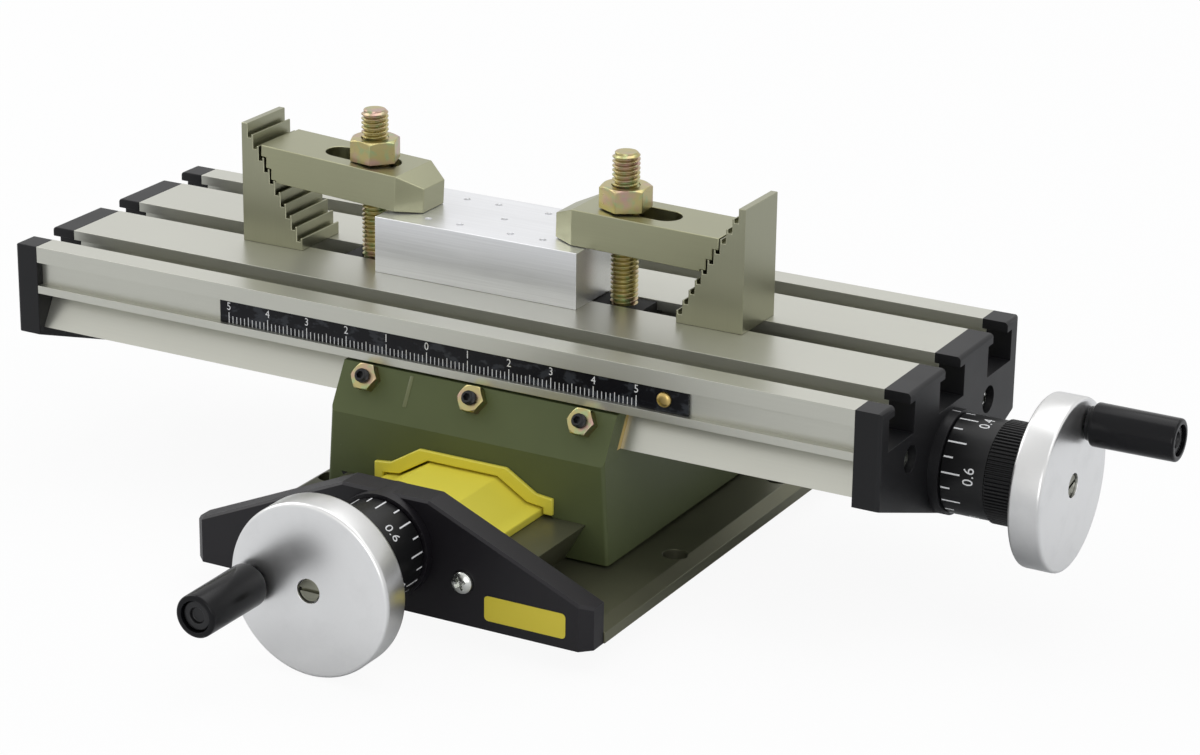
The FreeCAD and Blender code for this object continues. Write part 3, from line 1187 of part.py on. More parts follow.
def make_clamps():
    """Both step clamps and the block that they hold."""
    make_step_block("left_step_block", "sizes.left_block", -1)
    make_step_block("right_step_block", "sizes.right_block", 1)
    make_strap("left_clamp_strap", "sizes.left_block", -1, LEFT_STEP)
    make_strap("right_clamp_strap", "sizes.right_block", 1, RIGHT_STEP)
    make_stud_set("left", "sizes.left_stud", "sizes.left_block", -1, LEFT_STEP)
    make_stud_set("right", "sizes.right_stud", "sizes.right_block", 1, RIGHT_STEP)
    make_work_block()


def make_work_block():
    """The block that the straps hold, with its pilot holes in two rows and one between."""
    centre = (f"{TABLE_X} + sizes.work_x", f"{TABLE_Y} + sizes.work_y", TABLE_TOP)
    size = ("sizes.work_length", "sizes.work_depth", "sizes.work_height")
    at = (f"{centre[0]} - sizes.work_length / 2", f"{centre[1]} - sizes.work_depth / 2", TABLE_TOP)
    floor = f"{TABLE_TOP} + sizes.work_height - sizes.pilot_depth"
    spots = [("0", "0")]
    for column in ("sizes.pilot_near", "sizes.pilot_far"):
        for side in (-1, 1):
            for row in (-1, 1):
                spots.append((f"{side} * {column}", f"{row} * sizes.pilot_row"))
    pilots = []
    for across, back in spots:
        foot = (f"{centre[0]} + {across}", f"{centre[1]} + {back}", floor)
        pilots.append(cylinder("sizes.pilot_radius", "sizes.pilot_depth + sizes.overshoot", foot))
    keep(cut(box(size, at), pilots), "work_block")


def check_document():
    """Stop if any object failed, or any sub-part isn't a set of valid solids."""
    for thing in doc.Objects:
        if "Invalid" in thing.State or "Error" in thing.State:
            raise RuntimeError(f"{thing.Label} failed: {thing.State}")
    for thing in SUB_PARTS:
        shape = thing.Shape
        if shape.isNull() or not shape.isValid() or not shape.Solids:
            raise RuntimeError(f"{thing.Label} isn't a valid solid")


make_base()
make_front_plate()
make_spindle_cover()
make_saddle()
make_cover_liner()
make_gibs()
make_spindle_nuts()
make_table()
make_cap("left_end_cap", -1, "0")
make_cap("right_end_cap", 1, "sizes.x_boss")
make_cap_screws()
make_scale()
make_feed("x", f"{TABLE_X} + {CAP_FACE} + sizes.x_boss", TABLE_Y, X_AXIS, Turn(), Turn(X, -29),
          "sizes.x_boss + sizes.cap_thickness + sizes.table_length + sizes.rear_bore_depth"
          " - sizes.spindle_end_gap",
          "sizes.x_boss + sizes.cap_thickness")
make_feed("y", f"-({PLATE_FACE} + sizes.y_boss)", "0", Y_AXIS, Turn(Z, -90), Turn(X, 94),
          f"{PLATE_FACE} + sizes.y_boss + sizes.y_travel + sizes.nut_length - sizes.y_spindle_short",
          "sizes.y_boss + sizes.plate_thickness")
make_clamps()
doc.recompute()
check_document()
os.makedirs("parts", exist_ok=True)
for sub_part in SUB_PARTS:
    sub_part.Shape.exportStep(f"parts/{sub_part.Label}.step")
    print(f"{sub_part.Label}: {len(sub_part.Shape.Solids)} solids, {sub_part.Shape.Volume:.1f} mm3")
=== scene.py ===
"""Looks of a small cross slide table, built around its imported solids.

Every size is in millimetres in the part's own frame: the origin is the centre of the
base's bolt pattern, +X runs along the table towards its handwheel, +Y away from the
front plate and +Z up. Meshes are scaled to metres when they are published.
"""

import logging
import math
from dataclasses import dataclass, field
from enum import Enum
from typing import Any, Callable, Iterable, Optional, Sequence, Union

import bmesh
import bpy
from mathutils import Matrix, Vector


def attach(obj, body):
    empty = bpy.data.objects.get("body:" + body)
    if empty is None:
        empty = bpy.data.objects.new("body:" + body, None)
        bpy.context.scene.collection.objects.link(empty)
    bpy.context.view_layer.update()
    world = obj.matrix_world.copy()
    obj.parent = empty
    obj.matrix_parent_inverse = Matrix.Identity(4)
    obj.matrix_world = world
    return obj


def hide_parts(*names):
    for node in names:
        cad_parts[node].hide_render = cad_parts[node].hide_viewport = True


log = logging.getLogger("cross_slide_table")
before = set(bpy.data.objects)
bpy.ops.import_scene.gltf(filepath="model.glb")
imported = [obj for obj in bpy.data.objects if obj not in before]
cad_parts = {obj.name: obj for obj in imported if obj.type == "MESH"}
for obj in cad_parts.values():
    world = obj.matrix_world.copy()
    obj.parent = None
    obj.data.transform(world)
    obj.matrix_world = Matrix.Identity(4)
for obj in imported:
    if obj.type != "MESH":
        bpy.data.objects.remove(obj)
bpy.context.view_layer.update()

Colour = tuple[float, float, float]
Point = tuple[float, float, float]
Operand = Union[float, "Signal"]

# A millimetre in metres.
MM = 0.001
# Square metres. Many-sided faces that are larger than this are shaded flat.
FLAT_AREA = 1e-6
# Millimetres. Corners of a CAD mesh or of a thread that lie closer than this are one.
WELD = 0.002
# Millimetres. The same for a turned profile.
FINE_WELD = 0.0005
# Degrees. Faces of a CAD mesh that turn by less than this are joined up.
FLAT_TURN = 0.4
# Degrees. Edges that turn by more than this stay sharp in the shading.
SMOOTH_ANGLE = 35.0
# Degrees. The same for the yellow mouldings.
MOULDING_ANGLE = 25.0
# Degrees. Outer edges that turn by more than this are eased.
EDGE_TURN = 28.0
# Above 50, big faces decide more of the shading of their corners.
FACE_WEIGHT = 80
# Width of a figure as a share of the font's own width.
FIGURE_WIDTH = 0.92
ORIGIN: Point = (0.0, 0.0, 0.0)
ALONG_X: Point = (1.0, 0.0, 0.0)
WHITE: Colour = (0.86, 0.86, 0.86)
# Grey of the painted sheen patches, which stand in for mottled reflections on the scale strip.
SHEEN_GREY: Colour = (0.055, 0.06, 0.07)


class Axis(Enum):
    """The direction along which a finish is brushed or turned."""

    X = 0
    Y = 1
    Z = 2


class Signal:
    """One output socket, which can be used in ordinary arithmetic."""

    def __init__(self, nodes: "NodeTree", socket: bpy.types.NodeSocket) -> None:
        """Wrap a socket."""
        self.nodes = nodes
        self.socket = socket

    def _maths(self, operation: str, first: Operand, second: Operand) -> "Signal":
        """Add one Math node."""
        return self.nodes.node("ShaderNodeMath", {"operation": operation}, [first, second])

    def __add__(self, other: Operand) -> "Signal":
        """Add."""
        return self._maths("ADD", self, other)

    def __radd__(self, other: Operand) -> "Signal":
        """Add, from the right."""
        return self._maths("ADD", other, self)

    def __sub__(self, other: Operand) -> "Signal":
        """Take away."""
        return self._maths("SUBTRACT", self, other)

    def __rsub__(self, other: Operand) -> "Signal":
        """Take away, from the right."""
        return self._maths("SUBTRACT", other, self)

    def __mul__(self, other: Operand) -> "Signal":
        """Multiply."""
        return self._maths("MULTIPLY", self, other)

    def __rmul__(self, other: Operand) -> "Signal":
        """Multiply, from the right."""
        return self._maths("MULTIPLY", other, self)

    def maximum(self, other: Operand) -> "Signal":
        """The larger of the two."""
        return self._maths("MAXIMUM", self, other)


class NodeTree:
    """Adds nodes to one tree, which ends in a surface output."""

    def __init__(self, tree: bpy.types.NodeTree, output: str) -> None:
        """Empty a tree and give it an output node.

        Args:
            tree: The tree of a material or of the world.
            output: The output node's type.
        """
        self.tree = tree
        self.tree.nodes.clear()
        self.surface = self.tree.nodes.new(output).inputs["Surface"]

    def node(
        self,
        kind: str,
        settings: Optional[dict[str, Any]] = None,
        inputs: Any = None,
        output: Any = 0,
    ) -> Signal:
        """Add any node.

        Args:
            kind: The node's type.
            settings: Properties, which are set first.
            inputs: Values or signals, by socket in a dict or in order in a list.
            output: The name or place of the output that is wanted.

        Returns:
            The wanted output as a signal.
        """
        made = self.tree.nodes.new(kind)
        for key, value in (settings or {}).items():
            setattr(made, key, value)
        pairs = inputs.items() if isinstance(inputs, dict) else enumerate(inputs or [])
        for key, value in pairs:
            self.feed(made.inputs[key], value)
        return Signal(self, made.outputs[output])

    def feed(self, socket: bpy.types.NodeSocket, value: Any) -> None:
        """Set a socket's value or link a signal to it.

        Args:
            socket: The input socket.
            value: A number, a colour, a vector or a signal.
        """
        if isinstance(value, Signal):
            self.tree.links.new(value.socket, socket)
        elif socket.type == "RGBA" and len(value) == 3:
            socket.default_value = (*value, 1.0)
        else:
            socket.default_value = value


class Painter(NodeTree):
    """Builds the nodes of one material."""

    def __init__(self, name: str) -> None:
        """Start a material with one Principled shader.

        Args:
            name: The material's name.
        """
        self.material = bpy.data.materials.new(name)
        self.material.use_nodes = True
        super().__init__(self.material.node_tree, "ShaderNodeOutputMaterial")
        self.shader = self.tree.nodes.new("ShaderNodeBsdfPrincipled")
        self.shaded = Signal(self, self.shader.outputs["BSDF"])
        self.feed(self.surface, self.shaded)

    def set(self, **values: Any) -> None:
        """Set sockets of the shader, whose names have underscores for spaces."""
        for name, value in values.items():
            self.feed(self.shader.inputs[name.replace("_", " ")], value)

    def place(self, scale: Point, centre: Point = ORIGIN) -> Signal:
        """Object coordinates in millimetres, centred and scaled.

        Args:
            scale: How many pattern units go to a millimetre, along each axis.
            centre: The pattern's centre in millimetres.

        Returns:
            The coordinates.
        """
        found = self.node("ShaderNodeTexCoord", output="Object")
        shift = tuple(-c * MM for c in centre)
        centred = self.node("ShaderNodeMapping", None, {"Vector": found, "Location": shift})
        size = tuple(s / MM for s in scale)
        return self.node("ShaderNodeMapping", None, {"Vector": centred, "Scale": size})

    def noise(self, where: Signal, detail: float = 2.0, roughness: float = 0.5) -> Signal:
        """Noise from 0 to 1."""
        inputs = {"Vector": where, "Scale": 1.0, "Detail": detail, "Roughness": roughness}
        return self.node("ShaderNodeTexNoise", None, inputs)

    def mix(self, share: Any, first: Any, second: Any, mode: str = "MIX") -> Signal:
        """Mix two colours, by the share of the second one."""
        settings = {"data_type": "RGBA", "blend_type": mode}
        return self.node("ShaderNodeMix", settings, {0: share, 6: first, 7: second}, 2)

    def shade(self, colour: Colour, level: Signal) -> Signal:
        """Multiply a colour by a level, where 1 leaves it as it is."""
        grey = self.node("ShaderNodeCombineColor", None, [level] * 3)
        return self.mix(1.0, colour, grey, "MULTIPLY")

    def relief(self, height: Signal, depth: float, strength: float) -> Signal:
        """A normal from heights between 0 and 1, with a depth in millimetres."""
        inputs = {"Height": height, "Distance": depth * MM, "Strength": strength}
        return self.node("ShaderNodeBump", None, inputs, "Normal")

    def ramp(self, value: Signal, low: float, high: float) -> Signal:
        """Stretch a range of a signal to 0 to 1, and clamp it."""
        inputs = {"Value": value, "From Min": low, "From Max": high}
        return self.node("ShaderNodeMapRange", {"clamp": True}, inputs)


@dataclass(frozen=True)
class Brushed:
    """Metal with fine lines along one axis, such as an extrusion or a ground face."""

    name: str
    colour: Colour
    axis: Axis = Axis.X
    metallic: float = 1.0
    roughness: float = 0.35
    spread: float = 0.06
    line: float = 7.0
    along: float = 0.035
    mottle: float = 0.05
    cloud: float = 0.05

    def build(self) -> bpy.types.Material:
        """Make the material.

        Returns:
            The material.
        """
        painter = Painter(self.name)
        stretch = tuple(self.along if i == self.axis.value else self.line for i in range(3))
        lines = painter.noise(painter.place(stretch), 3.0, 0.6)
        clouds = painter.noise(painter.place((self.cloud,) * 3))
        level = 1.0 + (lines - 0.5) * self.spread * 2 + (clouds - 0.5) * self.mottle * 2
        rough = (lines - 0.5) * self.spread * 1.5 + (clouds - 0.5) * 0.05 + self.roughness
        painter.set(
            Base_Color=painter.shade(self.colour, level),
            Metallic=self.metallic,
            Roughness=rough,
            Normal=painter.relief(lines, 0.004, 0.35),
        )
        return painter.material


@dataclass(frozen=True)
class Turned:
    """Metal turned on a lathe, with faint rings round its own axis and painted shade on its rim.
    """

    name: str
    colour: Colour
    centre: Point
    axis: Axis
    roughness: float = 0.3
    pitch: float = 0.35
    # Radius in millimetres beyond which the rim gets its painted shade.
    rim: float = 17.9
    # Scale of the stain patches on the turned metal, which are real stains.
    stain: float = 0.16

    def build(self) -> bpy.types.Material:
        """Make the material.

        Returns:
            The material.
        """
        painter = Painter(self.name)
        flat = tuple(0.0 if i == self.axis.value else 1.0 for i in range(3))
        where = painter.place(flat, self.centre)
        radius = painter.node("ShaderNodeVectorMath", {"operation": "LENGTH"}, [where], "Value")
        turns = painter.node("ShaderNodeCombineXYZ", None, [radius * (1.0 / self.pitch), 0.0, 0.0])
        rings = painter.noise(turns, 3.0, 0.7)
        stains = painter.noise(painter.place((self.stain,) * 3), 3.0, 0.6)
        dull = painter.ramp(stains, 0.5, 0.75)
        # Painted shade: beyond the rim radius the colour is darkened, standing in for the dark
        # reflections on the rim.
        outside = painter.ramp(radius, self.rim, self.rim + 0.3)
        level = 1.0 + (rings - 0.5) * 0.05 - dull * 0.045 - outside * 0.2
        painter.set(
            Base_Color=painter.shade(self.colour, level),
            Metallic=1.0,
            Roughness=self.roughness + (rings - 0.5) * 0.08 + dull * 0.05,
            Normal=painter.relief(rings, 0.004, 0.25),
        )
        return painter.material


@dataclass(frozen=True)
class Painted:
    """Semi-gloss paint on a casting or a dull coat on an extrusion."""

    name: str
    colour: Colour
    roughness: float = 0.38
    metallic: float = 0.0
    grain: float = 1.6
    depth: float = 0.012
    fade: float = 0.08
    specular: float = 0.3
    cloud: float = 0.045
    speck: float = 0.9

    def build(self) -> bpy.types.Material:
        """Make the material.

        Returns:
            The material.
        """
        painter = Painter(self.name)
        peel = painter.noise(painter.place((self.grain,) * 3), 3.0, 0.55)
        clouds = painter.noise(painter.place((self.cloud,) * 3), 3.0, 0.6)
        specks = painter.ramp(painter.noise(painter.place((self.speck,) * 3)), 0.78, 0.82)
        darker = tuple(c * (1.0 - self.fade * 2) for c in self.colour)
        lighter = tuple(c * (1.0 + self.fade * 2) for c in self.colour)
        pale = tuple(min(1.0, c * 1.6 + 0.03) for c in self.colour)
        painter.set(
            Base_Color=painter.mix(specks * 0.35, painter.mix(clouds, darker, lighter), pale),
            Metallic=self.metallic,
            Roughness=self.roughness + (clouds - 0.5) * 0.12,
            Normal=painter.relief(peel, self.depth, 0.5),
            Specular_IOR_Level=self.specular,
        )
        return painter.material


@dataclass(frozen=True)
class Moulded:
    """Moulded plastic, from matt to glossy, with patches of painted grey sheen where it has them.
    """

    name: str
    colour: Colour
    roughness: float = 0.5
    grain: float = 6.0
    depth: float = 0.015
    specular: float = 0.5
    # Share of painted grey sheen patches in the base colour.
    stain: float = 0.0
    cloud: float = 0.12

    def build(self) -> bpy.types.Material:
        """Make the material.

        Returns:
            The material.
        """
        painter = Painter(self.name)
        grain = painter.noise(painter.place((self.grain,) * 3), 2.0, 0.6)
        clouds = painter.noise(painter.place((self.cloud,) * 3))
        painter.set(Base_Color=self.colour, Roughness=self.roughness + (clouds - 0.5) * 0.08)
        # Painted sheen: grey patches, mostly near the top of the part, are mixed into the base
        # colour in place of mottled reflections.
        if self.stain > 0.0:
            where = painter.place((0.2, 0.2, 0.35), (17.0, 3.0, 40.0))
            share = painter.ramp(painter.noise(where, 3.0, 0.6), 0.52, 0.6) * self.stain
            painter.set(Base_Color=painter.mix(share, self.colour, SHEEN_GREY))
        painter.set(
            Normal=painter.relief(grain, self.depth, 0.45), Specular_IOR_Level=self.specular
        )
        return painter.material


@dataclass(frozen=True)
class YellowZinc:
    """Yellow passivated zinc, which shimmers between gold, rose and green."""

    name: str
    gold: Colour = (0.43, 0.37, 0.17)
    rose: Colour = (0.45, 0.30, 0.25)
    green: Colour = (0.32, 0.40, 0.21)

    def build(self) -> bpy.types.Material:
        """Make the material.

        Returns:
            The material.
        """
        painter = Painter(self.name)
        patches = painter.noise(painter.place((0.22, 0.22, 0.22)))
        veins = painter.noise(painter.place((0.5, 0.5, 0.5), (31.0, 7.0, 3.0)))
        warm = painter.mix(painter.ramp(patches, 0.48, 0.68), self.gold, self.rose)
        colour = painter.mix(painter.ramp(veins, 0.52, 0.72), warm, self.green)
        painter.set(Base_Color=colour, Metallic=1.0, Roughness=0.24 + veins * 0.12)
        return painter.material


@dataclass(frozen=True)
class Plain:
    """One even finish, for small and hidden pieces."""

    name: str
    colour: Colour
    metallic: float = 0.0
    roughness: float = 0.4

    def build(self) -> bpy.types.Material:
        """Make the material.

        Returns:
            The material.
        """
        painter = Painter(self.name)
        painter.set(Base_Color=self.colour, Metallic=self.metallic, Roughness=self.roughness)
        return painter.material


Finish = Union[Brushed, Turned, Painted, Moulded, YellowZinc, Plain]


class Slot(Enum):
    """The record's material slots, one named for each scene piece."""

    TABLE = "table_aluminium"
    CAP = "cap_plastic"
    PLATE = "front_plastic"
    SADDLE = "saddle_paint"
    BASE = "base_coat"
    YELLOW = "yellow_plastic"
    WHEEL = "wheel_metal"
    DIAL = "dial_black"
    GRIP = "grip_plastic"
    SPINDLE = "spindle_steel"
    BRONZE = "bronze"
    SCALE = "scale_black"
    ZINC = "zinc_steel"
    GOLD = "yellow_zinc"
    BLACK = "black_steel"
    CLAMP = "clamp_steel"
    WORK = "work_aluminium"


class Side(Enum):
    """An end of the table."""

    LEFT = "left"
    RIGHT = "right"


class FeedPart(Enum):
    """The bodies of a hand feed."""

    FEED = "feed"
    DIAL = "dial"
    GRIP = "grip"


@dataclass
class Workshop:
    """Keeps the finishes, and turns finished meshes into pieces that ride on bodies."""

    finishes: dict[str, bpy.types.Material] = field(default_factory=dict)
    count: int = 0

    def finish(self, finish: Finish) -> bpy.types.Material:
        """The material of a finish, made on first use.

        Args:
            finish: The finish.

        Returns:
            Its material.
        """
        if finish.name not in self.finishes:
            self.finishes[finish.name] = finish.build()
        return self.finishes[finish.name]

    def publish(
        self,
        shape: bmesh.types.BMesh,
        name: str,
        finish: Finish,
        body: str,
        slot: Slot,
        replaces: Sequence[str] = (),
        smooth_angle: float = SMOOTH_ANGLE,
        weighted: bool = False,
    ) -> None:
        """Turn a bmesh in millimetres into a piece of the part.

        Args:
            shape: The mesh, which is freed.
            name: The piece's name.
            finish: Its finish.
            body: The body it rides on.
            slot: The record's material slot; it is not used.
            replaces: CAD nodes that it stands for.
            smooth_angle: Edges sharper than this stay sharp, in degrees.
            weighted: Whether big faces decide the shading of their corners.
        """
        bmesh.ops.scale(shape, vec=(MM,) * 3, verts=shape.verts)
        mesh = bpy.data.meshes.new(name)
        shape.to_mesh(mesh)
        shape.free()
        mesh.shade_smooth()
        mesh.set_sharp_from_angle(angle=math.radians(smooth_angle))
        if weighted:
            self._flatten_faces(mesh)
        mesh.materials.append(self.finish(finish))
        piece = bpy.data.objects.new(name, mesh)
        bpy.context.scene.collection.objects.link(piece)
        if weighted:
            normals = piece.modifiers.new("face_weights", "WEIGHTED_NORMAL")
            normals.keep_sharp = True
            normals.weight = FACE_WEIGHT
        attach(piece, body)
        if replaces:
            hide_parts(*replaces)
        self.count += 1
        log.info("%s: %d faces, rides on %s", name, len(mesh.polygons), body)

    def refine(
        self,
        node: str,
        name: str,
        finish: Finish,
        body: str,
        slot: Slot,
        width: float,
        segments: int = 2,
        sharpest: float = EDGE_TURN,
        smooth_angle: float = SMOOTH_ANGLE,
    ) -> None:
        """Stand in for a CAD node with a copy whose outer edges are eased."""
        shape = ease_edges(solid_of(node), width, segments, sharpest)
        self.publish(shape, name, finish, body, slot, [node], smooth_angle, weighted=True)

    @staticmethod
    def _flatten_faces(mesh: bpy.types.Mesh) -> None:
        """Shade many-sided faces flat, so that the holes in them leave no streaks.

        Args:
            mesh: The mesh, in metres.
        """
        for polygon in mesh.polygons:
            if len(polygon.vertices) > 4 and polygon.area > FLAT_AREA:
                polygon.use_smooth = False

    def paint_nodes(self, nodes: Iterable[str], finish: Finish) -> None:
        """Give CAD nodes that stay in view their finish.

        Args:
            nodes: The nodes' names.
            finish: Their finish.
        """
        for node in nodes:
            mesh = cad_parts[node].data
            mesh.materials.clear()
            mesh.materials.append(self.finish(finish))


def solid_of(node: str) -> bmesh.types.BMesh:
    """A merged copy of a CAD node, in millimetres, with flat faces joined up.

    Args:
        node: The node's name.

    Returns:
        The copy.
    """
    shape = bmesh.new()
    shape.from_mesh(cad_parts[node].data)
    bmesh.ops.scale(shape, vec=(1 / MM,) * 3, verts=shape.verts)
    bmesh.ops.remove_doubles(shape, verts=shape.verts, dist=WELD)
    bmesh.ops.dissolve_degenerate(shape, edges=shape.edges, dist=WELD / 2)
    bmesh.ops.dissolve_limit(
        shape,
        angle_limit=math.radians(FLAT_TURN),
        use_dissolve_boundaries=False,
        verts=shape.verts,
        edges=shape.edges,
    )
    return shape


def ease_edges(
    shape: bmesh.types.BMesh,
    width: float,
    segments: int = 2,
    sharpest: float = EDGE_TURN,
    wanted: Optional[Callable[[bmesh.types.BMEdge], bool]] = None,
) -> bmesh.types.BMesh:
    """Bevel the sharp outer edges of a shape.

    Args:
        shape: The shape.
        width: The bevel's width in millimetres.
        segments: Its segments.
        sharpest: Only edges that turn by more than this many degrees are eased.
        wanted: A further test of an edge.

    Returns:
        The same shape.
    """
    limit = math.radians(sharpest)
    edges = [
        edge
        for edge in shape.edges
        if edge.is_manifold
        and edge.calc_face_angle_signed() > limit
        and (wanted is None or wanted(edge))
    ]
    bmesh.ops.bevel(
        shape,
        geom=edges,
        offset=width,
        offset_type="OFFSET",
        affect="EDGES",
        segments=segments,
        profile=0.5,
        clamp_overlap=True,
        material=-1,
    )
    return shape


def rotation(degrees: float, axis: str) -> Matrix:
    """A turn about one axis, as a matrix."""
    return Matrix.Rotation(math.radians(degrees), 4, axis)


def lathe(profile: Sequence[tuple[float, float]], steps: int) -> bmesh.types.BMesh:
    """Turn a profile round the X axis.

    Args:
        profile: Points of (along X, radius), which start and end on the axis or meet.
        steps: Steps of a full turn.

    Returns:
        The closed shape.
    """
    shape = bmesh.new()
    verts = [shape.verts.new((along, 0.0, radius)) for along, radius in profile]
    edges = [shape.edges.new(pair) for pair in zip(verts, verts[1:])]
    bmesh.ops.spin(
        shape,
        geom=verts + edges,
        cent=ORIGIN,
        axis=ALONG_X,
        dvec=ORIGIN,
        angle=math.tau,
        steps=steps,
        use_merge=True,
        use_duplicate=False,
    )
    bmesh.ops.remove_doubles(shape, verts=shape.verts, dist=FINE_WELD)
    bmesh.ops.recalc_face_normals(shape, faces=shape.faces)
    return shape


def rounded(
    profile: Sequence[tuple[float, float, float]], bends: int
) -> list[tuple[float, float]]:
    """Round the corners of a profile.

    Args:
        profile: Points of (along, radius, rounding).
        bends: Number of straight bits in a rounded corner.

    Returns:
        The profile's points.
    """
    points: list[tuple[float, float]] = []
    for i, (along, radius, rounding) in enumerate(profile):
        if rounding <= 0.0 or i in (0, len(profile) - 1):
            points.append((along, radius))
            continue
        here = Vector((along, radius))
        before = Vector(profile[i - 1][:2]) - here
        after = Vector(profile[i + 1][:2]) - here
        reach = min(rounding, before.length * 0.5, after.length * 0.5)
        start = here + before.normalized() * reach
        end = here + after.normalized() * reach
        for bend in range(bends + 1):
            t = bend / bends
            spot = start * (1 - t) ** 2 + here * 2 * t * (1 - t) + end * t**2
            points.append((spot.x, spot.y))
    return points


def turned_piece(
    profile: Sequence[tuple[float, float, float]], steps: int, bends: int = 3
) -> bmesh.types.BMesh:
    """Round the corners of a profile and turn it round the X axis."""
    return lathe(rounded(profile, bends), steps)


def bar(low: Point, high: Point) -> bmesh.types.BMesh:
    """A box between two corners.

    Args:
        low: The corner with the smallest coordinates.
        high: The corner with the largest coordinates.

    Returns:
        The box.
    """
    shape = bmesh.new()
    bmesh.ops.create_cube(shape, size=1.0)
    size = Vector(high) - Vector(low)
    bmesh.ops.scale(shape, vec=size, verts=shape.verts)
    bmesh.ops.translate(shape, vec=Vector(low) + size / 2, verts=shape.verts)
    return shape


def rod(radius: float, start: float, end: float, steps: int) -> bmesh.types.BMesh:
    """A cylinder along X."""
    return lathe([(start, 0.0), (start, radius), (end, radius), (end, 0.0)], steps)


def moved(shape: bmesh.types.BMesh, matrix: Matrix) -> bmesh.types.BMesh:
    """Apply a matrix to a shape, and give it back."""
    bmesh.ops.transform(shape, matrix=matrix, verts=shape.verts)
    return shape


def merged(shapes: Iterable[bmesh.types.BMesh]) -> bmesh.types.BMesh:
    """Put several shapes into one, and free them.

    Args:
        shapes: The shapes.

    Returns:
        All of them as one shape.
    """
    whole = bmesh.new()
    for shape in shapes:
        passed = bpy.data.meshes.new("passed")
        shape.to_mesh(passed)
        shape.free()
        whole.from_mesh(passed)
        bpy.data.meshes.remove(passed)
    return whole


def lettering(words: str, height: float, spacing: float = 1.0) -> bmesh.types.BMesh:
    """Numbers as a flat mesh in the XY plane, centred on the origin.

    Args:
        words: The numbers.
        height: Height of a figure in millimetres.
        spacing: Letter spacing.

    Returns:
        The flat mesh, facing +Z.
    """
    curve = bpy.data.curves.new("figures", "FONT")
    curve.body = words
    curve.align_x = "CENTER"
    curve.align_y = "CENTER"
    curve.resolution_u = 3
    curve.space_character = spacing
    holder = bpy.data.objects.new("figures", curve)
    bpy.context.scene.collection.objects.link(holder)
    graph = bpy.context.evaluated_depsgraph_get()
    mesh = bpy.data.meshes.new_from_object(holder.evaluated_get(graph))
    shape = bmesh.new()
    shape.from_mesh(mesh)
    bpy.data.objects.remove(holder)
    bpy.data.curves.remove(curve)
    bpy.data.meshes.remove(mesh)
    heights = [vert.co.y for vert in shape.verts]
    widths = [vert.co.x for vert in shape.verts]
    factor = height / (max(heights) - min(heights))
    centre = Vector(((max(widths) + min(widths)) / 2, (max(heights) + min(heights)) / 2, 0.0))
    bmesh.ops.translate(shape, vec=-centre, verts=shape.verts)
    bmesh.ops.scale(shape, vec=(factor * FIGURE_WIDTH, factor, 1.0), verts=shape.verts)
    bmesh.ops.triangulate(shape, faces=shape.faces)
    for face in shape.faces:
        if face.normal.z < 0:
            face.normal_flip()
    return shape


def thread(
    radius: float,
    depth: float,
    pitch: float,
    length: float,
    steps: int,
    left: bool = False,
) -> bmesh.types.BMesh:
    """A threaded rod along X from x = 0, flat at both ends.

    Args:
        radius: Outer radius.
        depth: Depth of the thread.
        pitch: Distance between turns.
        length: Length of the rod.
        steps: Steps of a turn.
        left: Whether the thread is left-handed.

    Returns:
        The closed rod.
    """
    shape = bmesh.new()
    root = radius - depth
    # The outline of one turn, with its places as shares of the pitch.
    outline = ((0.0, root), (0.36, radius), (0.52, radius), (0.88, root))
    chain = []
    for turn in range(-1, int(length / pitch) + 3):
        for share, reach in outline:
            chain.append(shape.verts.new(((turn + share) * pitch, 0.0, reach)))
    edges = [shape.edges.new(pair) for pair in zip(chain, chain[1:])]
    bmesh.ops.spin(
        shape,
        geom=chain + edges,
        cent=ORIGIN,
        axis=ALONG_X,
        dvec=(pitch / steps, 0.0, 0.0),
        angle=-math.tau if left else math.tau,
        steps=steps,
        use_merge=False,
        use_duplicate=False,
    )
    bmesh.ops.remove_doubles(shape, verts=shape.verts, dist=WELD)
    for place, side in ((0.0, -1.0), (length, 1.0)):
        bmesh.ops.bisect_plane(
            shape,
            geom=shape.verts[:] + shape.edges[:] + shape.faces[:],
            dist=0.0001,
            plane_co=(place, 0.0, 0.0),
            plane_no=(side, 0.0, 0.0),
            clear_outer=True,
        )
    rims = [edge for edge in shape.edges if edge.is_boundary]
    bmesh.ops.holes_fill(shape, edges=rims, sides=0)
    bmesh.ops.recalc_face_normals(shape, faces=shape.faces)
    return shape


def taper_end(
    shape: bmesh.types.BMesh, start: float, end: float, radius: float, tip: float
) -> None:
    """Narrow the end of a rod along X.

    Args:
        shape: The rod.
        start: Where the taper starts.
        end: Where it ends.
        radius: Radius at the start.
        tip: Radius at the end.
    """
    for vert in shape.verts:
        share = (vert.co.x - start) / (end - start)
        if share > 0:
            limit = radius + (tip - radius) * min(1.0, share)
            reach = math.hypot(vert.co.y, vert.co.z)
            if reach > limit:
                vert.co.y *= limit / reach
                vert.co.z *= limit / reach


def carve(body: bmesh.types.BMesh, tool: bmesh.types.BMesh) -> bmesh.types.BMesh:
    """Cut one closed shape out of another, and free both.

    Args:
        body: The shape that keeps its outside.
        tool: The shape that is taken away.

    Returns:
        The result.
    """
    holders = []
    for name, shape in (("body", body), ("tool", tool)):
        mesh = bpy.data.meshes.new(name)
        shape.to_mesh(mesh)
        shape.free()
        holder = bpy.data.objects.new(name, mesh)
        bpy.context.scene.collection.objects.link(holder)
        holders.append(holder)
    cut = holders[0].modifiers.new("cut", "BOOLEAN")
    cut.operation = "DIFFERENCE"
    cut.solver = "EXACT"
    cut.object = holders[1]
    graph = bpy.context.evaluated_depsgraph_get()
    result = bpy.data.meshes.new_from_object(holders[0].evaluated_get(graph))
    shape = bmesh.new()
    shape.from_mesh(result)
    bpy.data.meshes.remove(result)
    for holder in holders:
        mesh = holder.data
        bpy.data.objects.remove(holder)
        bpy.data.meshes.remove(mesh)
    return shape


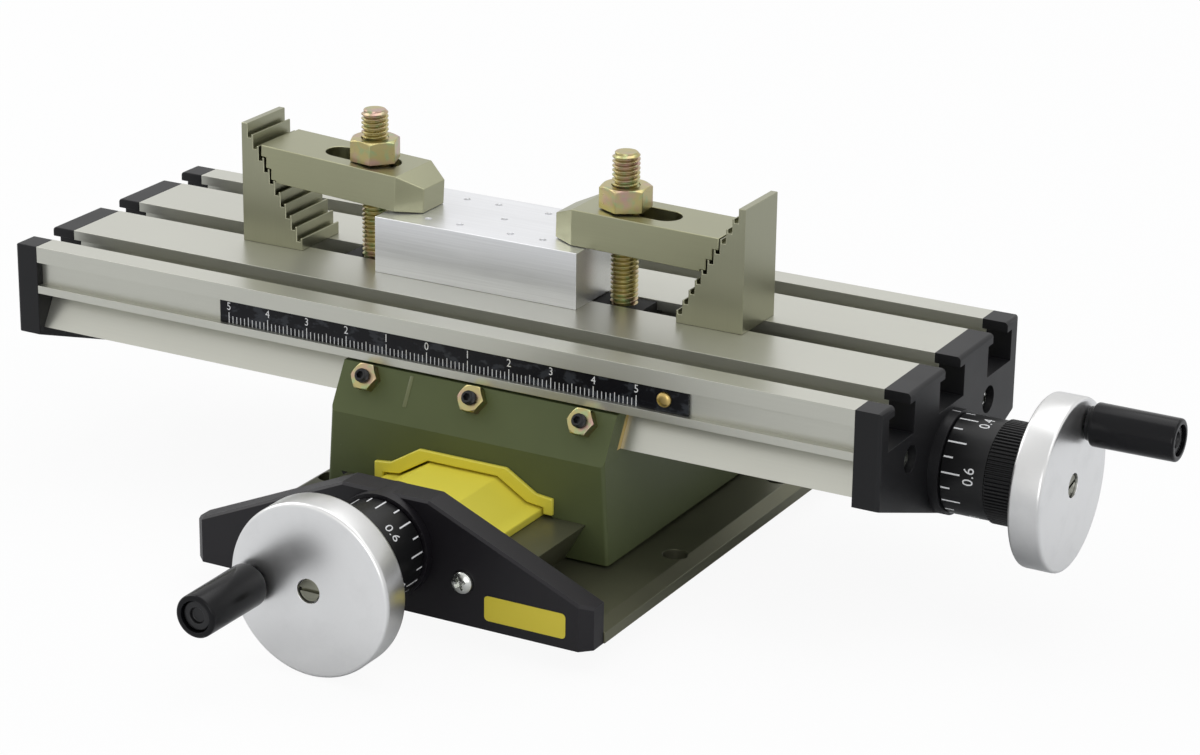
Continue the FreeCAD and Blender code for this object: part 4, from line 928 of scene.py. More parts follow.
def pan_screw(head: float, height: float, recess: float) -> bmesh.types.BMesh:
    """A pan head screw with a cross recess, along X with its seat at x = 0.

    Args:
        head: Radius of the head.
        height: Height of the head.
        recess: Half span of the cross.

    Returns:
        The screw.
    """
    outline = [
        (0.0, 0.0, 0.0),
        (0.0, head, 0.0),
        (height * 0.55, head, 0.5),
        (height, head * 0.45, 0.6),
        (height, 0.0, 0.0),
    ]
    dome = turned_piece(outline, 36, 4)
    floor = height * 0.3
    above = height + 1.0
    arm = recess * 0.26
    first = bar((floor, -recess, -arm), (above, recess, arm))
    second = bar((floor, -arm, -recess), (above, arm, recess))
    return merged([carve(carve(dome, first), second), rod(1.3, -12.0, 0.0, 24)])


ALUMINIUM = Brushed(
    "satin_anodised_aluminium",
    (0.53, 0.53, 0.47),
    metallic=0.8,
    roughness=0.33,
    spread=0.045,
    mottle=0.03,
)
CAP_BLACK = Moulded(
    "matt_black_moulding", (0.006, 0.006, 0.007), 0.46, grain=5.0, depth=0.02, specular=0.28
)
PLATE_BLACK = Moulded(
    "matt_black_front_moulding", (0.005, 0.004, 0.006), 0.44, grain=5.0, depth=0.02, specular=0.34
)
OLIVE = Painted("olive_casting_paint", (0.10, 0.12, 0.05), 0.4, specular=0.2)
# Lighter olive of the raised read mark: painted highlight, for the light its edges catch.
HIGHLIT_OLIVE = Painted("worn_olive_paint", (0.15, 0.165, 0.075), 0.34, specular=0.35)
BRONZE_COAT = Painted("dark_olive_anodised", (0.14, 0.14, 0.09), 0.36, metallic=0.6, fade=0.12)
YELLOW = Moulded(
    "glossy_yellow_moulding", (0.84, 0.74, 0.085), 0.3, grain=1.2, depth=0.01, specular=0.4
)
DIAL_BLACK = Moulded(
    "satin_black_dial", (0.006, 0.006, 0.0065), 0.34, grain=4.0, depth=0.006, specular=0.28
)
GRIP_BLACK = Moulded(
    "glossy_black_grip", (0.004, 0.004, 0.005), 0.22, grain=1.5, depth=0.006, specular=0.18
)
# The scale strip gets patches of painted grey sheen.
SCALE_BLACK = Moulded(
    "printed_black_scale",
    (0.006, 0.006, 0.008),
    0.24,
    grain=0.6,
    depth=0.02,
    specular=0.18,
    stain=0.55,
)
LINE_DARK = Moulded("fine_dark_line", (0.001, 0.001, 0.001), 0.9, specular=0.0)
STEEL = Brushed("turned_spindle_steel", (0.50, 0.49, 0.47), Axis.Y, roughness=0.3)
GROUND = Brushed(
    "ground_clamp_steel",
    (0.31, 0.31, 0.22),
    Axis.Z,
    roughness=0.34,
    spread=0.07,
    line=5.0,
    mottle=0.08,
)
GROUND_LONG = Brushed(
    "ground_strap_steel",
    (0.32, 0.32, 0.21),
    roughness=0.32,
    spread=0.07,
    line=5.0,
    mottle=0.08,
)
WORK = Brushed(
    "brushed_block_aluminium",
    (0.76, 0.765, 0.78),
    metallic=0.85,
    roughness=0.34,
    spread=0.12,
    line=3.0,
)
GOLD = YellowZinc("yellow_passivated_zinc")
BRASS = Plain("brass_strip", (0.52, 0.38, 0.14), metallic=1.0, roughness=0.3)
ZINC = Plain("bright_zinc", (0.62, 0.63, 0.60), metallic=1.0, roughness=0.2)
BLACK_STEEL = Plain("blackened_steel", (0.02, 0.02, 0.021), metallic=0.5, roughness=0.32)
SCREW_STEEL = Plain("oiled_screw_steel", (0.24, 0.24, 0.19), metallic=1.0, roughness=0.34)
# Near black for parts that sit in shade: painted shade.
SHADE_BLACK = Plain("dull_black_steel", (0.008, 0.008, 0.008), roughness=0.75)
MARK_WHITE = Plain("printed_white", WHITE, roughness=0.55)
LABEL = Plain("plain_yellow_label", (0.68, 0.56, 0.035), roughness=0.35)


@dataclass
class BaseUnit:
    """The base plate with its front plate, cover, screws and label."""

    shop: Workshop
    plate_front: float = -70.0
    plate_back: float = -63.7
    peak: float = 25.0
    screw_places: tuple[float, float] = (-18.4, 18.4)
    screw_height: float = 9.3
    screw_seat: float = -69.95
    screw_head: float = 2.42
    screw_rise: float = 1.5
    screw_recess: float = 1.4
    screw_turn: float = 30.0
    label_low: Point = (23.4, -70.12, 2.15)
    label_high: Point = (42.0, -69.9, 7.55)
    label_corner: float = 0.9
    line_half: float = 0.25

    def build(self) -> None:
        """Build every piece of the base."""
        refine = self.shop.refine
        refine("base_plate", "base_extrusion", BRONZE_COAT, "base", Slot.BASE, 0.3)
        refine("front_plate", "gabled_front_plate", PLATE_BLACK, "base", Slot.PLATE, 0.22)
        refine(
            "spindle_cover",
            "spindle_arch_cover",
            YELLOW,
            "base",
            Slot.YELLOW,
            0.35,
            smooth_angle=MOULDING_ANGLE,
        )
        self._screws()
        self._label()
        self._index_line()

    def _screws(self) -> None:
        """The two cross-recess screws in the front plate."""
        screws = []
        facing = rotation(-90, "Z") @ rotation(self.screw_turn, "X")
        for across in self.screw_places:
            screw = pan_screw(self.screw_head, self.screw_rise, self.screw_recess)
            spot = Matrix.Translation((across, self.screw_seat, self.screw_height))
            screws.append(moved(screw, spot @ facing))
        self.shop.publish(
            merged(screws),
            "front_plate_pan_screws",
            ZINC,
            "base",
            Slot.ZINC,
            ["front_plate_screws"],
        )

    def _label(self) -> None:
        """A plain label with rounded corners and no words."""
        label = bar(self.label_low, self.label_high)
        corners = [
            edge for edge in label.edges if abs(edge.verts[0].co.y - edge.verts[1].co.y) > 0.1
        ]
        bmesh.ops.bevel(
            label,
            geom=corners,
            offset=self.label_corner,
            affect="EDGES",
            segments=5,
            profile=0.5,
            material=-1,
        )
        ease_edges(label, 0.05, 1, wanted=lambda edge: edge.verts[0].co.y < self.plate_front)
        self.shop.publish(label, "plain_label", LABEL, "base", Slot.PLATE)

    def _index_line(self) -> None:
        """The fine line on the front plate's top, against which the dial is read."""
        low = (-self.line_half, self.plate_front + 0.5, self.peak - 0.2)
        high = (self.line_half, self.plate_back - 0.1, self.peak + 0.03)
        self.shop.publish(bar(low, high), "front_index_line", LINE_DARK, "base", Slot.PLATE)


@dataclass
class SaddleUnit:
    """The saddle casting with its liner, gib strips, set screws and lock nuts."""

    shop: Workshop
    middle: float = 2.0
    rail_half: float = 35.0
    top: float = 35.76
    slant: float = 60.0
    bend_above: float = 20.0
    face_half: float = 40.6
    screw_pitch: float = 26.2
    upper_length: float = 7.9
    upper_down: float = 2.95
    upper_proud: float = 3.8
    lower_length: float = 8.3
    lower_end: float = -37.4
    lower_height: float = 8.5
    screw_radius: float = 1.5
    screw_tip: float = 1.2
    thread_depth: float = 0.28
    thread_pitch: float = 0.5
    socket_radius: float = 0.86
    socket_depth: float = 1.2
    mark_across: float = -15.9
    mark_down: float = 4.0
    mark_low: Point = (-0.3, -0.5, -3.4)
    mark_high: Point = (0.14, 0.5, 3.4)

    def build(self) -> None:
        """Build every piece of the saddle."""
        shop = self.shop
        casting = solid_of("saddle")
        ease_edges(casting, 1.8, 6, wanted=self._is_bend)
        ease_edges(casting, 0.4, 3)
        shop.publish(
            casting, "saddle_casting", OLIVE, "saddle", Slot.SADDLE, ["saddle"], weighted=True
        )
        shop.refine(
            "cover_liner",
            "cover_liner_bead",
            YELLOW,
            "saddle",
            Slot.YELLOW,
            0.7,
            4,
            smooth_angle=MOULDING_ANGLE,
        )
        for node in ("x_gib_lock_nuts", "y_gib_lock_nuts"):
            shop.refine(node, node + "_eased", GOLD, "saddle", Slot.GOLD, 0.12)
        self._set_screws()
        self._read_mark()
        shop.paint_nodes(["x_gib_strip", "x_spindle_nut", "y_spindle_nut"], BRASS)
        # Painted shade: the brass gib strip is made near black, as it sits in shade.
        shop.paint_nodes(["y_gib_strip"], SHADE_BLACK)
        shop.paint_nodes(["y_nut_screws"], ZINC)

    def _is_bend(self, edge: bmesh.types.BMEdge) -> bool:
        """Whether an edge is a bend between an upright face and the slope above it.

        Args:
            edge: The edge.

        Returns:
            True for the front and rear bends.
        """
        ends = [vert.co for vert in edge.verts]
        level = abs(ends[0].z - ends[1].z) < 0.05 and ends[0].z > self.bend_above
        outside = all(abs(abs(end.y - self.middle) - self.face_half) < 0.1 for end in ends)
        return level and outside

    def _slope_frame(self, across: float, down: float) -> Matrix:
        """A frame on the slanting front face.

        Args:
            across: The place along the table.
            down: The distance down the slope from the saddle's top.

        Returns:
            The frame: X outwards, Y along the table and Z up the slope.
        """
        rise = math.sin(math.radians(self.slant))
        run = math.cos(math.radians(self.slant))
        spot = (across, self.middle - self.rail_half - run * down, self.top - rise * down)
        out = Vector((0.0, -rise, run))
        along = Vector(ALONG_X)
        turn = Matrix((out, along, out.cross(along))).transposed().to_4x4()
        return Matrix.Translation(spot) @ turn

    def _set_screws(self) -> None:
        """The socket set screws of both gibs."""
        uppers = []
        lowers = []
        for row in (-1, 0, 1):
            slope = self._slope_frame(row * self.screw_pitch, self.upper_down)
            proud = Matrix.Translation((self.upper_proud, 0.0, 0.0))
            uppers.append(moved(self._socket_screw(self.upper_length), slope @ proud))
            spot = (self.lower_end, self.middle + row * self.screw_pitch, self.lower_height)
            outward = Matrix.Translation(spot) @ rotation(180, "Z")
            lowers.append(moved(self._socket_screw(self.lower_length), outward))
        for screws, name, node in (
            (uppers, "upper_set_screws", "x_gib_screws"),
            (lowers, "lower_set_screws", "y_gib_screws"),
        ):
            self.shop.publish(merged(screws), name, BLACK_STEEL, "saddle", Slot.BLACK, [node])

    def _socket_screw(self, length: float) -> bmesh.types.BMesh:
        """A set screw along X that ends at x = 0, with a hexagon socket there.

        Args:
            length: The screw's length.

        Returns:
            The screw.
        """
        screw = thread(self.screw_radius, self.thread_depth, self.thread_pitch, length, 20)
        taper_end(screw, length - 0.35, length, self.screw_radius, self.screw_tip)
        moved(screw, Matrix.Translation((-length, 0.0, 0.0)))
        socket = bmesh.new()
        bmesh.ops.create_cone(
            socket,
            cap_ends=True,
            segments=6,
            radius1=self.socket_radius,
            radius2=self.socket_radius,
            depth=self.socket_depth * 2,
        )
        return carve(screw, moved(socket, rotation(90, "Y")))

    def _read_mark(self) -> None:
        """The raised mark on the saddle's slope, against which the scale is read."""
        mark = ease_edges(bar(self.mark_low, self.mark_high), 0.2)
        moved(mark, self._slope_frame(self.mark_across, self.mark_down))
        # The mark's lighter olive is painted highlight.
        self.shop.publish(mark, "saddle_read_mark", HIGHLIT_OLIVE, "saddle", Slot.SADDLE)


@dataclass
class TableUnit:
    """The table with its end caps, cap screws and printed scale."""

    shop: Workshop
    middle: float = 2.0
    scale_zero: float = -13.25
    scale_front: float = -31.9
    mark_foot: float = 38.2
    scale_middle: float = 40.86
    scale_stretch: float = 1.07
    scale_reach: int = 50
    long_tick: float = 2.4
    middle_tick: float = 2.05
    short_tick: float = 1.65
    figure_size: float = 1.7
    figure_rise: float = 3.8
    mark_proud: float = 0.03
    mark_sunk: float = 0.05
    wide_half: float = 0.09
    thin_half: float = 0.075
    rivet_across: float = 43.2
    cap_screw_seats: tuple[float, float] = (-117.1, 89.3)
    cap_screw_offset: float = 20.0
    cap_screw_height: float = 32.96
    cap_screw_head: float = 2.7
    cap_screw_rise: float = 1.7
    cap_screw_recess: float = 1.5
    cap_screw_twist: float = 0.5
    boss_face: float = 94.2
    boss_top: float = 37.08
    line_half: float = 0.09

    def build(self) -> None:
        """Build every piece of the table."""
        refine = self.shop.refine
        refine("table_plate", "table_extrusion", ALUMINIUM, "table", Slot.TABLE, 0.22)
        for side in Side:
            node = f"{side.value}_end_cap"
            name = f"{side.value}_cap_moulding"
            refine(node, name, CAP_BLACK, "table", Slot.CAP, 0.3, sharpest=50.0)
        self._cap_screws()
        self._scale_strip()
        self._scale_marks()
        self._scale_rivet()
        self._boss_line()

    def _cap_screws(self) -> None:
        """The sunk screws of both caps."""
        screws = []
        for facing, seat in zip((180.0, 0.0), self.cap_screw_seats):
            for across in (-1, 1):
                spot = (seat, self.middle + across * self.cap_screw_offset, self.cap_screw_height)
                twist = Matrix.Rotation(self.cap_screw_twist * across, 4, "X")
                place = Matrix.Translation(spot) @ rotation(facing, "Z") @ twist
                screw = pan_screw(self.cap_screw_head, self.cap_screw_rise, self.cap_screw_recess)
                screws.append(moved(screw, place))
        self.shop.publish(
            merged(screws), "cap_pan_screws", ZINC, "table", Slot.ZINC, ["end_cap_screws"]
        )

    def _scale_strip(self) -> None:
        """The black strip, stretched a little to fill its groove."""
        strip = ease_edges(solid_of("scale_strip"), 0.08, 1)
        for vert in strip.verts:
            vert.co.z = self.scale_middle + (vert.co.z - self.scale_middle) * self.scale_stretch
        self.shop.publish(
            strip, "scale_strip_plate", SCALE_BLACK, "table", Slot.SCALE, ["scale_strip"]
        )

    def _tick(self, number: int) -> bmesh.types.BMesh:
        """One tick of the scale.

        Args:
            number: Its place in millimetres from the scale's zero.

        Returns:
            The tick: longest and widest at a whole centimetre.
        """
        whole = number % 10 == 0
        short = self.middle_tick if number % 5 == 0 else self.short_tick
        tall = self.long_tick if whole else short
        half = self.wide_half if whole else self.thin_half
        along = self.scale_zero + number
        return bar(
            (along - half, self.scale_front - self.mark_proud, self.mark_foot),
            (along + half, self.scale_front + self.mark_sunk, self.mark_foot + tall),
        )

    def _scale_marks(self) -> None:
        """The ticks for each millimetre and the numbers for each centimetre."""
        reach = self.scale_reach
        marks = [self._tick(number) for number in range(-reach, reach + 1)]
        for number in range(-reach // 10, reach // 10 + 1):
            spot = (
                self.scale_zero + number * 10,
                self.scale_front - self.mark_proud,
                self.mark_foot + self.figure_rise,
            )
            figure = lettering(str(abs(number)), self.figure_size)
            marks.append(moved(figure, Matrix.Translation(spot) @ rotation(90, "X")))
        self.shop.publish(merged(marks), "scale_marks", MARK_WHITE, "table", Slot.SCALE)

    def _scale_rivet(self) -> None:
        """The domed rivet at the strip's right end."""
        outline = [
            (-0.3, 0.0, 0.0),
            (-0.3, 1.7, 0.0),
            (0.35, 1.7, 0.3),
            (0.75, 1.1, 0.4),
            (0.75, 0.0, 0.0),
        ]
        spot = Matrix.Translation((self.rivet_across, self.scale_front, self.scale_middle))
        head = moved(turned_piece(outline, 36), spot @ rotation(-90, "Z"))
        self.shop.publish(
            head, "scale_rivet_head", BRASS, "table", Slot.BRONZE, ["scale_rivet"]
        )

    def _boss_line(self) -> None:
        """The fine line on the right cap's boss, against which its dial is read."""
        low = (self.boss_face - 1.9, self.middle - self.line_half, self.boss_top - 0.13)
        high = (self.boss_face - 0.1, self.middle + self.line_half, self.boss_top)
        self.shop.publish(bar(low, high), "cap_index_line", MARK_WHITE, "table", Slot.CAP)


@dataclass
class HandFeed:
    """One spindle with its dial ring, handwheel and grip.

    It is built outwards along X, from the face of the boss that its dial ring meets.
    """

    shop: Workshop
    axis: Axis
    outward: Matrix
    centre: Point
    reading: float
    grip_angle: float
    spindle_length: float
    thread_end: float
    left_thread: bool
    slot_angle: float
    dial_end: float
    figure_place: float
    dial_start: float = 0.2
    dial_radius: float = 10.5
    dial_step: float = 0.3
    tick_gap: float = 0.3
    tick_half: float = 0.17
    long_tick: float = 4.05
    short_tick: float = 2.0
    figure_size: float = 2.35
    knurl_length: float = 8.0
    knurl_radius: float = 10.9
    knurl_depth: float = 0.38
    ridges: int = 82
    hub_radius: float = 6.0
    hub_start: float = 0.05
    wheel_gap: float = 0.2
    wheel_width: float = 7.0
    wheel_radius: float = 18.3
    wheel_rounding: float = 0.9
    wheel_bore: float = 1.7
    well_radius: float = 2.6
    well_depth: float = 2.2
    screw_head: float = 2.35
    screw_rise: float = 1.7
    screw_shank: float = 1.5
    screw_length: float = 3.0
    grip_offset: float = 13.2
    grip_gap: float = 0.3
    grip_length: float = 19.4
    grip_radius: float = 4.6
    grip_bore: float = 2.1
    neck_radius: float = 3.6
    recess_radius: float = 3.3
    recess_depth: float = 2.0
    thread_start: float = 4.0
    thread_radius: float = 3.0
    thread_depth: float = 0.5
    thread_pitch: float = 1.0
    journal_radius: float = 2.5
    collar_radius: float = 3.9
    collar_width: float = 1.95
    end_gap: float = 3.3

    @property
    def letter(self) -> str:
        """The letter that starts the names of the feed's pieces and bodies."""
        return self.axis.name.lower()

    @property
    def knurl_start(self) -> float:
        """Where the knurl starts."""
        return self.dial_end - self.knurl_length

    @property
    def wheel_start(self) -> float:
        """Where the wheel's rim starts."""
        return self.dial_end + self.wheel_gap

    @property
    def wheel_end(self) -> float:
        """Where the wheel's face lies."""
        return self.wheel_start + self.wheel_width

    def build(self) -> None:
        """Build every piece of the feed."""
        self._dial()
        self._knurl()
        self._marks()
        self._wheel()
        self._wheel_screw()
        self._grip()
        self._grip_pin()
        self._spindle()

    def _put(
        self,
        shape: bmesh.types.BMesh,
        name: str,
        finish: Finish,
        part: FeedPart,
        slot: Slot,
        replaces: Optional[str] = None,
        smooth_angle: float = SMOOTH_ANGLE,
    ) -> None:
        """Place a shape that was built outwards along X and publish it.

        Args:
            shape: The shape.
            name: Its name without the feed's letter.
            finish: Its finish.
            part: The part of the feed that it rides on.
            slot: The record's material slot.
            replaces: The CAD node that it stands for, without the feed's letter.
            smooth_angle: Edges sharper than this stay sharp, in degrees.
        """
        body = f"{self.letter}_{part.value}"
        nodes = [f"{self.letter}_{replaces}"] if replaces else []
        moved(shape, self.outward)
        self.shop.publish(shape, f"{self.letter}_{name}", finish, body, slot, nodes, smooth_angle)

    def _dial(self) -> None:
        """The plain, graduated part of the dial ring."""
        bore = self.hub_radius + 0.05
        waist = self.dial_radius - self.dial_step
        outline = [
            (self.dial_start, bore, 0.0),
            (self.dial_start, self.dial_radius, 0.25),
            (self.knurl_start - 0.25, self.dial_radius, 0.0),
            (self.knurl_start - 0.2, waist, 0.0),
            (self.dial_end, waist, 0.0),
            (self.dial_end, bore, 0.0),
            (self.dial_start, bore, 0.0),
        ]
        ring = turned_piece(outline, 96)
        self._put(ring, "dial_barrel", DIAL_BLACK, FeedPart.DIAL, Slot.DIAL, "dial_ring")

    def _knurl(self) -> None:
        """The fine ridges at the dial ring's outer end."""
        sleeve = bmesh.new()
        # Four corners to a ridge: two on its crest and two at its root.
        corners = self.ridges * 4
        rims = [
            bmesh.ops.create_circle(sleeve, cap_ends=False, radius=radius, segments=corners)
            for radius in (self.knurl_radius, self.dial_radius - 0.35)
        ]
        for place, vert in enumerate(rims[0]["verts"]):
            if place % 4 in (0, 3):
                vert.co *= (self.knurl_radius - self.knurl_depth) / self.knurl_radius
        bmesh.ops.bridge_loops(sleeve, edges=sleeve.edges[:])
        region = bmesh.ops.extrude_face_region(sleeve, geom=sleeve.faces[:])["geom"]
        raised = [item for item in region if isinstance(item, bmesh.types.BMVert)]
        length = self.dial_end - self.knurl_start
        bmesh.ops.translate(sleeve, vec=(0.0, 0.0, length), verts=raised)
        bmesh.ops.recalc_face_normals(sleeve, faces=sleeve.faces)
        moved(sleeve, Matrix.Translation((self.knurl_start, 0.0, 0.0)) @ rotation(90, "Y"))
        self._put(
            sleeve, "dial_knurl", DIAL_BLACK, FeedPart.DIAL, Slot.DIAL, smooth_angle=20.0
        )

    def _wrap(
        self, shape: bmesh.types.BMesh, turn: float, along: float, radius: float
    ) -> bmesh.types.BMesh:
        """Wrap a flat mark round the dial.

        Args:
            shape: A flat mesh whose X runs round the dial and whose Y runs inwards along it.
            turn: The mark's place, in radians from the top towards -Y local.
            along: The mark's middle along the dial.
            radius: Radius of the marks.

        Returns:
            The wrapped mesh.
        """
        for vert in shape.verts:
            angle = turn - vert.co.x / radius
            reach = radius + vert.co.z
            vert.co = (along - vert.co.y, -math.sin(angle) * reach, math.cos(angle) * reach)
        return shape

    def _marks(self) -> None:
        """The ticks and numbers on the dial."""
        marks = []
        radius = self.dial_radius + 0.03
        for tick in range(20):
            value = tick * 0.05
            turn = (value - self.reading) * math.tau
            length = self.long_tick if tick % 2 == 0 else self.short_tick
            blank = bar((-self.tick_half, -length / 2, -0.05), (self.tick_half, length / 2, 0.0))
            middle = self.dial_start + self.tick_gap + length / 2
            marks.append(self._wrap(blank, turn, middle, radius))
            if tick % 4 == 0:
                words = "0" if tick == 0 else f"{value:.1f}"
                figure = lettering(words, self.figure_size, 1.05)
                middle = self.dial_start + self.figure_place
                marks.append(self._wrap(figure, turn, middle, radius))
        self._put(merged(marks), "dial_marks", MARK_WHITE, FeedPart.DIAL, Slot.DIAL)

    def _wheel(self) -> None:
        """The handwheel: a turned disc with a hub."""
        well_floor = self.wheel_end - self.well_depth
        outline = [
            (self.hub_start, self.well_radius, 0.0),
            (self.hub_start, self.hub_radius, 0.0),
            (self.wheel_start, self.hub_radius, 0.0),
            (self.wheel_start, self.wheel_radius, self.wheel_rounding),
            (self.wheel_end, self.wheel_radius, self.wheel_rounding),
            (self.wheel_end, self.well_radius, 0.12),
            (well_floor, self.well_radius, 0.0),
            (well_floor, self.wheel_bore, 0.0),
            (self.hub_start, self.wheel_bore, 0.0),
            (self.hub_start, self.well_radius, 0.0),
        ]
        wheel = turned_piece(outline, 128, 5)
        name = f"turned_aluminium_{self.letter}"
        finish = Turned(name, (0.78, 0.78, 0.775), self.centre, self.axis)
        self._put(wheel, "wheel_disc", finish, FeedPart.FEED, Slot.WHEEL, "handwheel", 40.0)

    def _wheel_screw(self) -> None:
        """The slotted screw in the wheel's centre."""
        seat = self.wheel_end - self.well_depth
        outline = [
            (seat - self.screw_length, 0.0, 0.0),
            (seat - self.screw_length, self.screw_shank, 0.0),
            (seat, self.screw_shank, 0.0),
            (seat, self.screw_head, 0.0),
            (seat + self.screw_rise, self.screw_head, 0.25),
            (seat + self.screw_rise, 0.0, 0.0),
        ]
        groove = bar((seat + 0.9, -3.0, -0.35), (seat + 3.0, 3.0, 0.35))
        moved(groove, rotation(self.slot_angle, "X"))
        screw = carve(turned_piece(outline, 40), groove)
        self._put(
            screw, "wheel_screw", SCREW_STEEL, FeedPart.FEED, Slot.BLACK, "handwheel_screw"
        )

    def _grip_frame(self) -> Matrix:
        """The frame of the grip: X outwards from the wheel's face."""
        aside = rotation(self.grip_angle, "X") @ Vector((0.0, 0.0, self.grip_offset))
        return Matrix.Translation((self.wheel_end, aside.y, aside.z))

    def _grip(self) -> None:
        """The grip, which turns on its pin."""
        start = self.grip_gap
        end = self.grip_length + start
        outline = [
            (start, self.grip_bore, 0.0),
            (start, self.neck_radius, 0.2),
            (1.3, self.neck_radius, 0.3),
            (1.5, self.grip_radius, 0.7),
            (end, self.grip_radius - 0.1, 0.8),
            (end, self.recess_radius, 0.15),
            (end - self.recess_depth, self.recess_radius, 0.0),
            (end - self.recess_depth, self.grip_bore, 0.0),
            (start, self.grip_bore, 0.0),
        ]
        grip = moved(turned_piece(outline, 64, 4), self._grip_frame())
        self._put(
            grip, "grip_barrel", GRIP_BLACK, FeedPart.GRIP, Slot.GRIP, "handwheel_grip", 50.0
        )

    def _grip_pin(self) -> None:
        """The pin in the wheel, with its hollow head in the grip's end."""
        end = self.grip_length + self.grip_gap
        outline = [
            (-4.0, 0.0, 0.0),
            (-4.0, 2.0, 0.0),
            (end - 1.9, 2.0, 0.0),
            (end - 1.9, 3.1, 0.0),
            (end - 0.7, 3.1, 0.3),
            (end - 0.7, 1.7, 0.2),
            (end - 1.5, 1.5, 0.2),
            (end - 1.5, 0.0, 0.0),
        ]
        pin = moved(turned_piece(outline, 40), self._grip_frame())
        self._put(pin, "grip_pin_head", BLACK_STEEL, FeedPart.FEED, Slot.SPINDLE, "grip_pin")

    def _spindle(self) -> None:
        """The spindle: its thread, its collar and its journals."""
        inner = -self.spindle_length
        start = inner + self.thread_start
        shoulder = self.thread_end
        screw = thread(
            self.thread_radius,
            self.thread_depth,
            self.thread_pitch,
            shoulder - start,
            24,
            self.left_thread,
        )
        moved(screw, Matrix.Translation((start, 0.0, 0.0)))
        tail = rod(self.journal_radius, inner, start + 0.5, 32)
        end = self.wheel_end - self.end_gap
        outline = [
            (shoulder - 0.2, 0.0),
            (shoulder - 0.2, self.thread_radius),
            (shoulder, self.thread_radius),
            (shoulder, self.collar_radius),
            (shoulder + self.collar_width, self.collar_radius),
            (shoulder + self.collar_width, self.journal_radius),
            (end, self.journal_radius),
            (end, 0.0),
        ]
        spindle = merged([screw, tail, lathe(outline, 40)])
        self._put(spindle, "spindle_thread", STEEL, FeedPart.FEED, Slot.SPINDLE, "spindle")


@dataclass
class StepClamp:
    """One step clamp: a stud, its nut, a toothed strap and a step block."""

    shop: Workshop
    side: Side
    stud_x: float
    nut_turn: float = 30.0
    middle: float = 2.0
    stud_low: float = 38.86
    stud_high: float = 80.46
    stud_radius: float = 3.0
    stud_tip: float = 2.35
    thread_depth: float = 0.55
    thread_pitch: float = 1.0

    def build(self) -> None:
        """Build every piece of the clamp."""
        shop = self.shop
        side = self.side.value
        body = f"{side}_clamp"
        block = f"{side}_step_block"
        shop.refine(block, f"{side}_stepped_block", GROUND, body, Slot.CLAMP, 0.1, 1)
        strap = f"{side}_clamp_strap"
        shop.refine(strap, f"{side}_strap_bar", GROUND_LONG, body, Slot.CLAMP, 0.18)
        stud = self._stud()
        shop.publish(stud, f"{side}_stud_thread", GOLD, body, Slot.GOLD, [f"{side}_stud"], 40.0)
        nut = ease_edges(solid_of(f"{side}_clamp_nut"), 0.15)
        centre = Matrix.Translation((self.stud_x, self.middle, 0.0))
        moved(nut, centre @ rotation(self.nut_turn, "Z") @ centre.inverted())
        shop.publish(
            nut,
            f"{side}_hexagon_nut",
            GOLD,
            f"{side}_nut",
            Slot.GOLD,
            [f"{side}_clamp_nut"],
            weighted=True,
        )
        # Painted shade: the T-nut is made near black, as the slot it sits in is in shade.
        shop.paint_nodes([f"{side}_t_nut"], SHADE_BLACK)

    def _stud(self) -> bmesh.types.BMesh:
        """The stud, which stands in the middle slot.

        Returns:
            The stud in its place.
        """
        length = self.stud_high - self.stud_low
        stud = thread(self.stud_radius, self.thread_depth, self.thread_pitch, length, 32)
        taper_end(stud, length - 0.7, length, self.stud_radius, self.stud_tip)
        foot = Matrix.Translation((self.stud_x, self.middle, self.stud_low))
        return moved(stud, foot @ rotation(-90, "Y"))


@dataclass
class HeldBlock:
    """The bright block between the straps, with its pilot holes."""

    shop: Workshop
    top: float = 59.86
    rim: float = 0.3
    long_edge: float = 1.0

    def build(self) -> None:
        """Build the block, with a bright countersink at each hole."""
        block = solid_of("work_block")
        ease_edges(block, self.rim, wanted=self._is_rim)
        ease_edges(block, 0.14, wanted=lambda edge: edge.calc_length() > self.long_edge)
        self.shop.publish(
            block, "held_aluminium_block", WORK, "work", Slot.WORK, ["work_block"], weighted=True
        )

    def _is_rim(self, edge: bmesh.types.BMEdge) -> bool:
        """Whether an edge is part of a hole's rim in the block's top."""
        high = all(abs(vert.co.z - self.top) < 0.01 for vert in edge.verts)
        return high and edge.calc_length() < self.long_edge


@dataclass(frozen=True)
class SoftLamp:
    """A square area lamp that points at the middle of the part. Its sizes are in metres."""

    name: str
    place: Point
    size: float
    power: float
    target: Point = (0.0, 0.0, 0.03)

    def build(self) -> None:
        """Hang the lamp."""
        light = bpy.data.lights.new(self.name, "AREA")
        light.shape = "SQUARE"
        light.size = self.size
        light.energy = self.power
        lamp = bpy.data.objects.new(self.name, light)
        aim = (Vector(self.target) - Vector(self.place)).to_track_quat("-Z", "Y")
        lamp.matrix_world = Matrix.Translation(self.place) @ aim.to_matrix().to_4x4()
        bpy.context.scene.collection.objects.link(lamp)


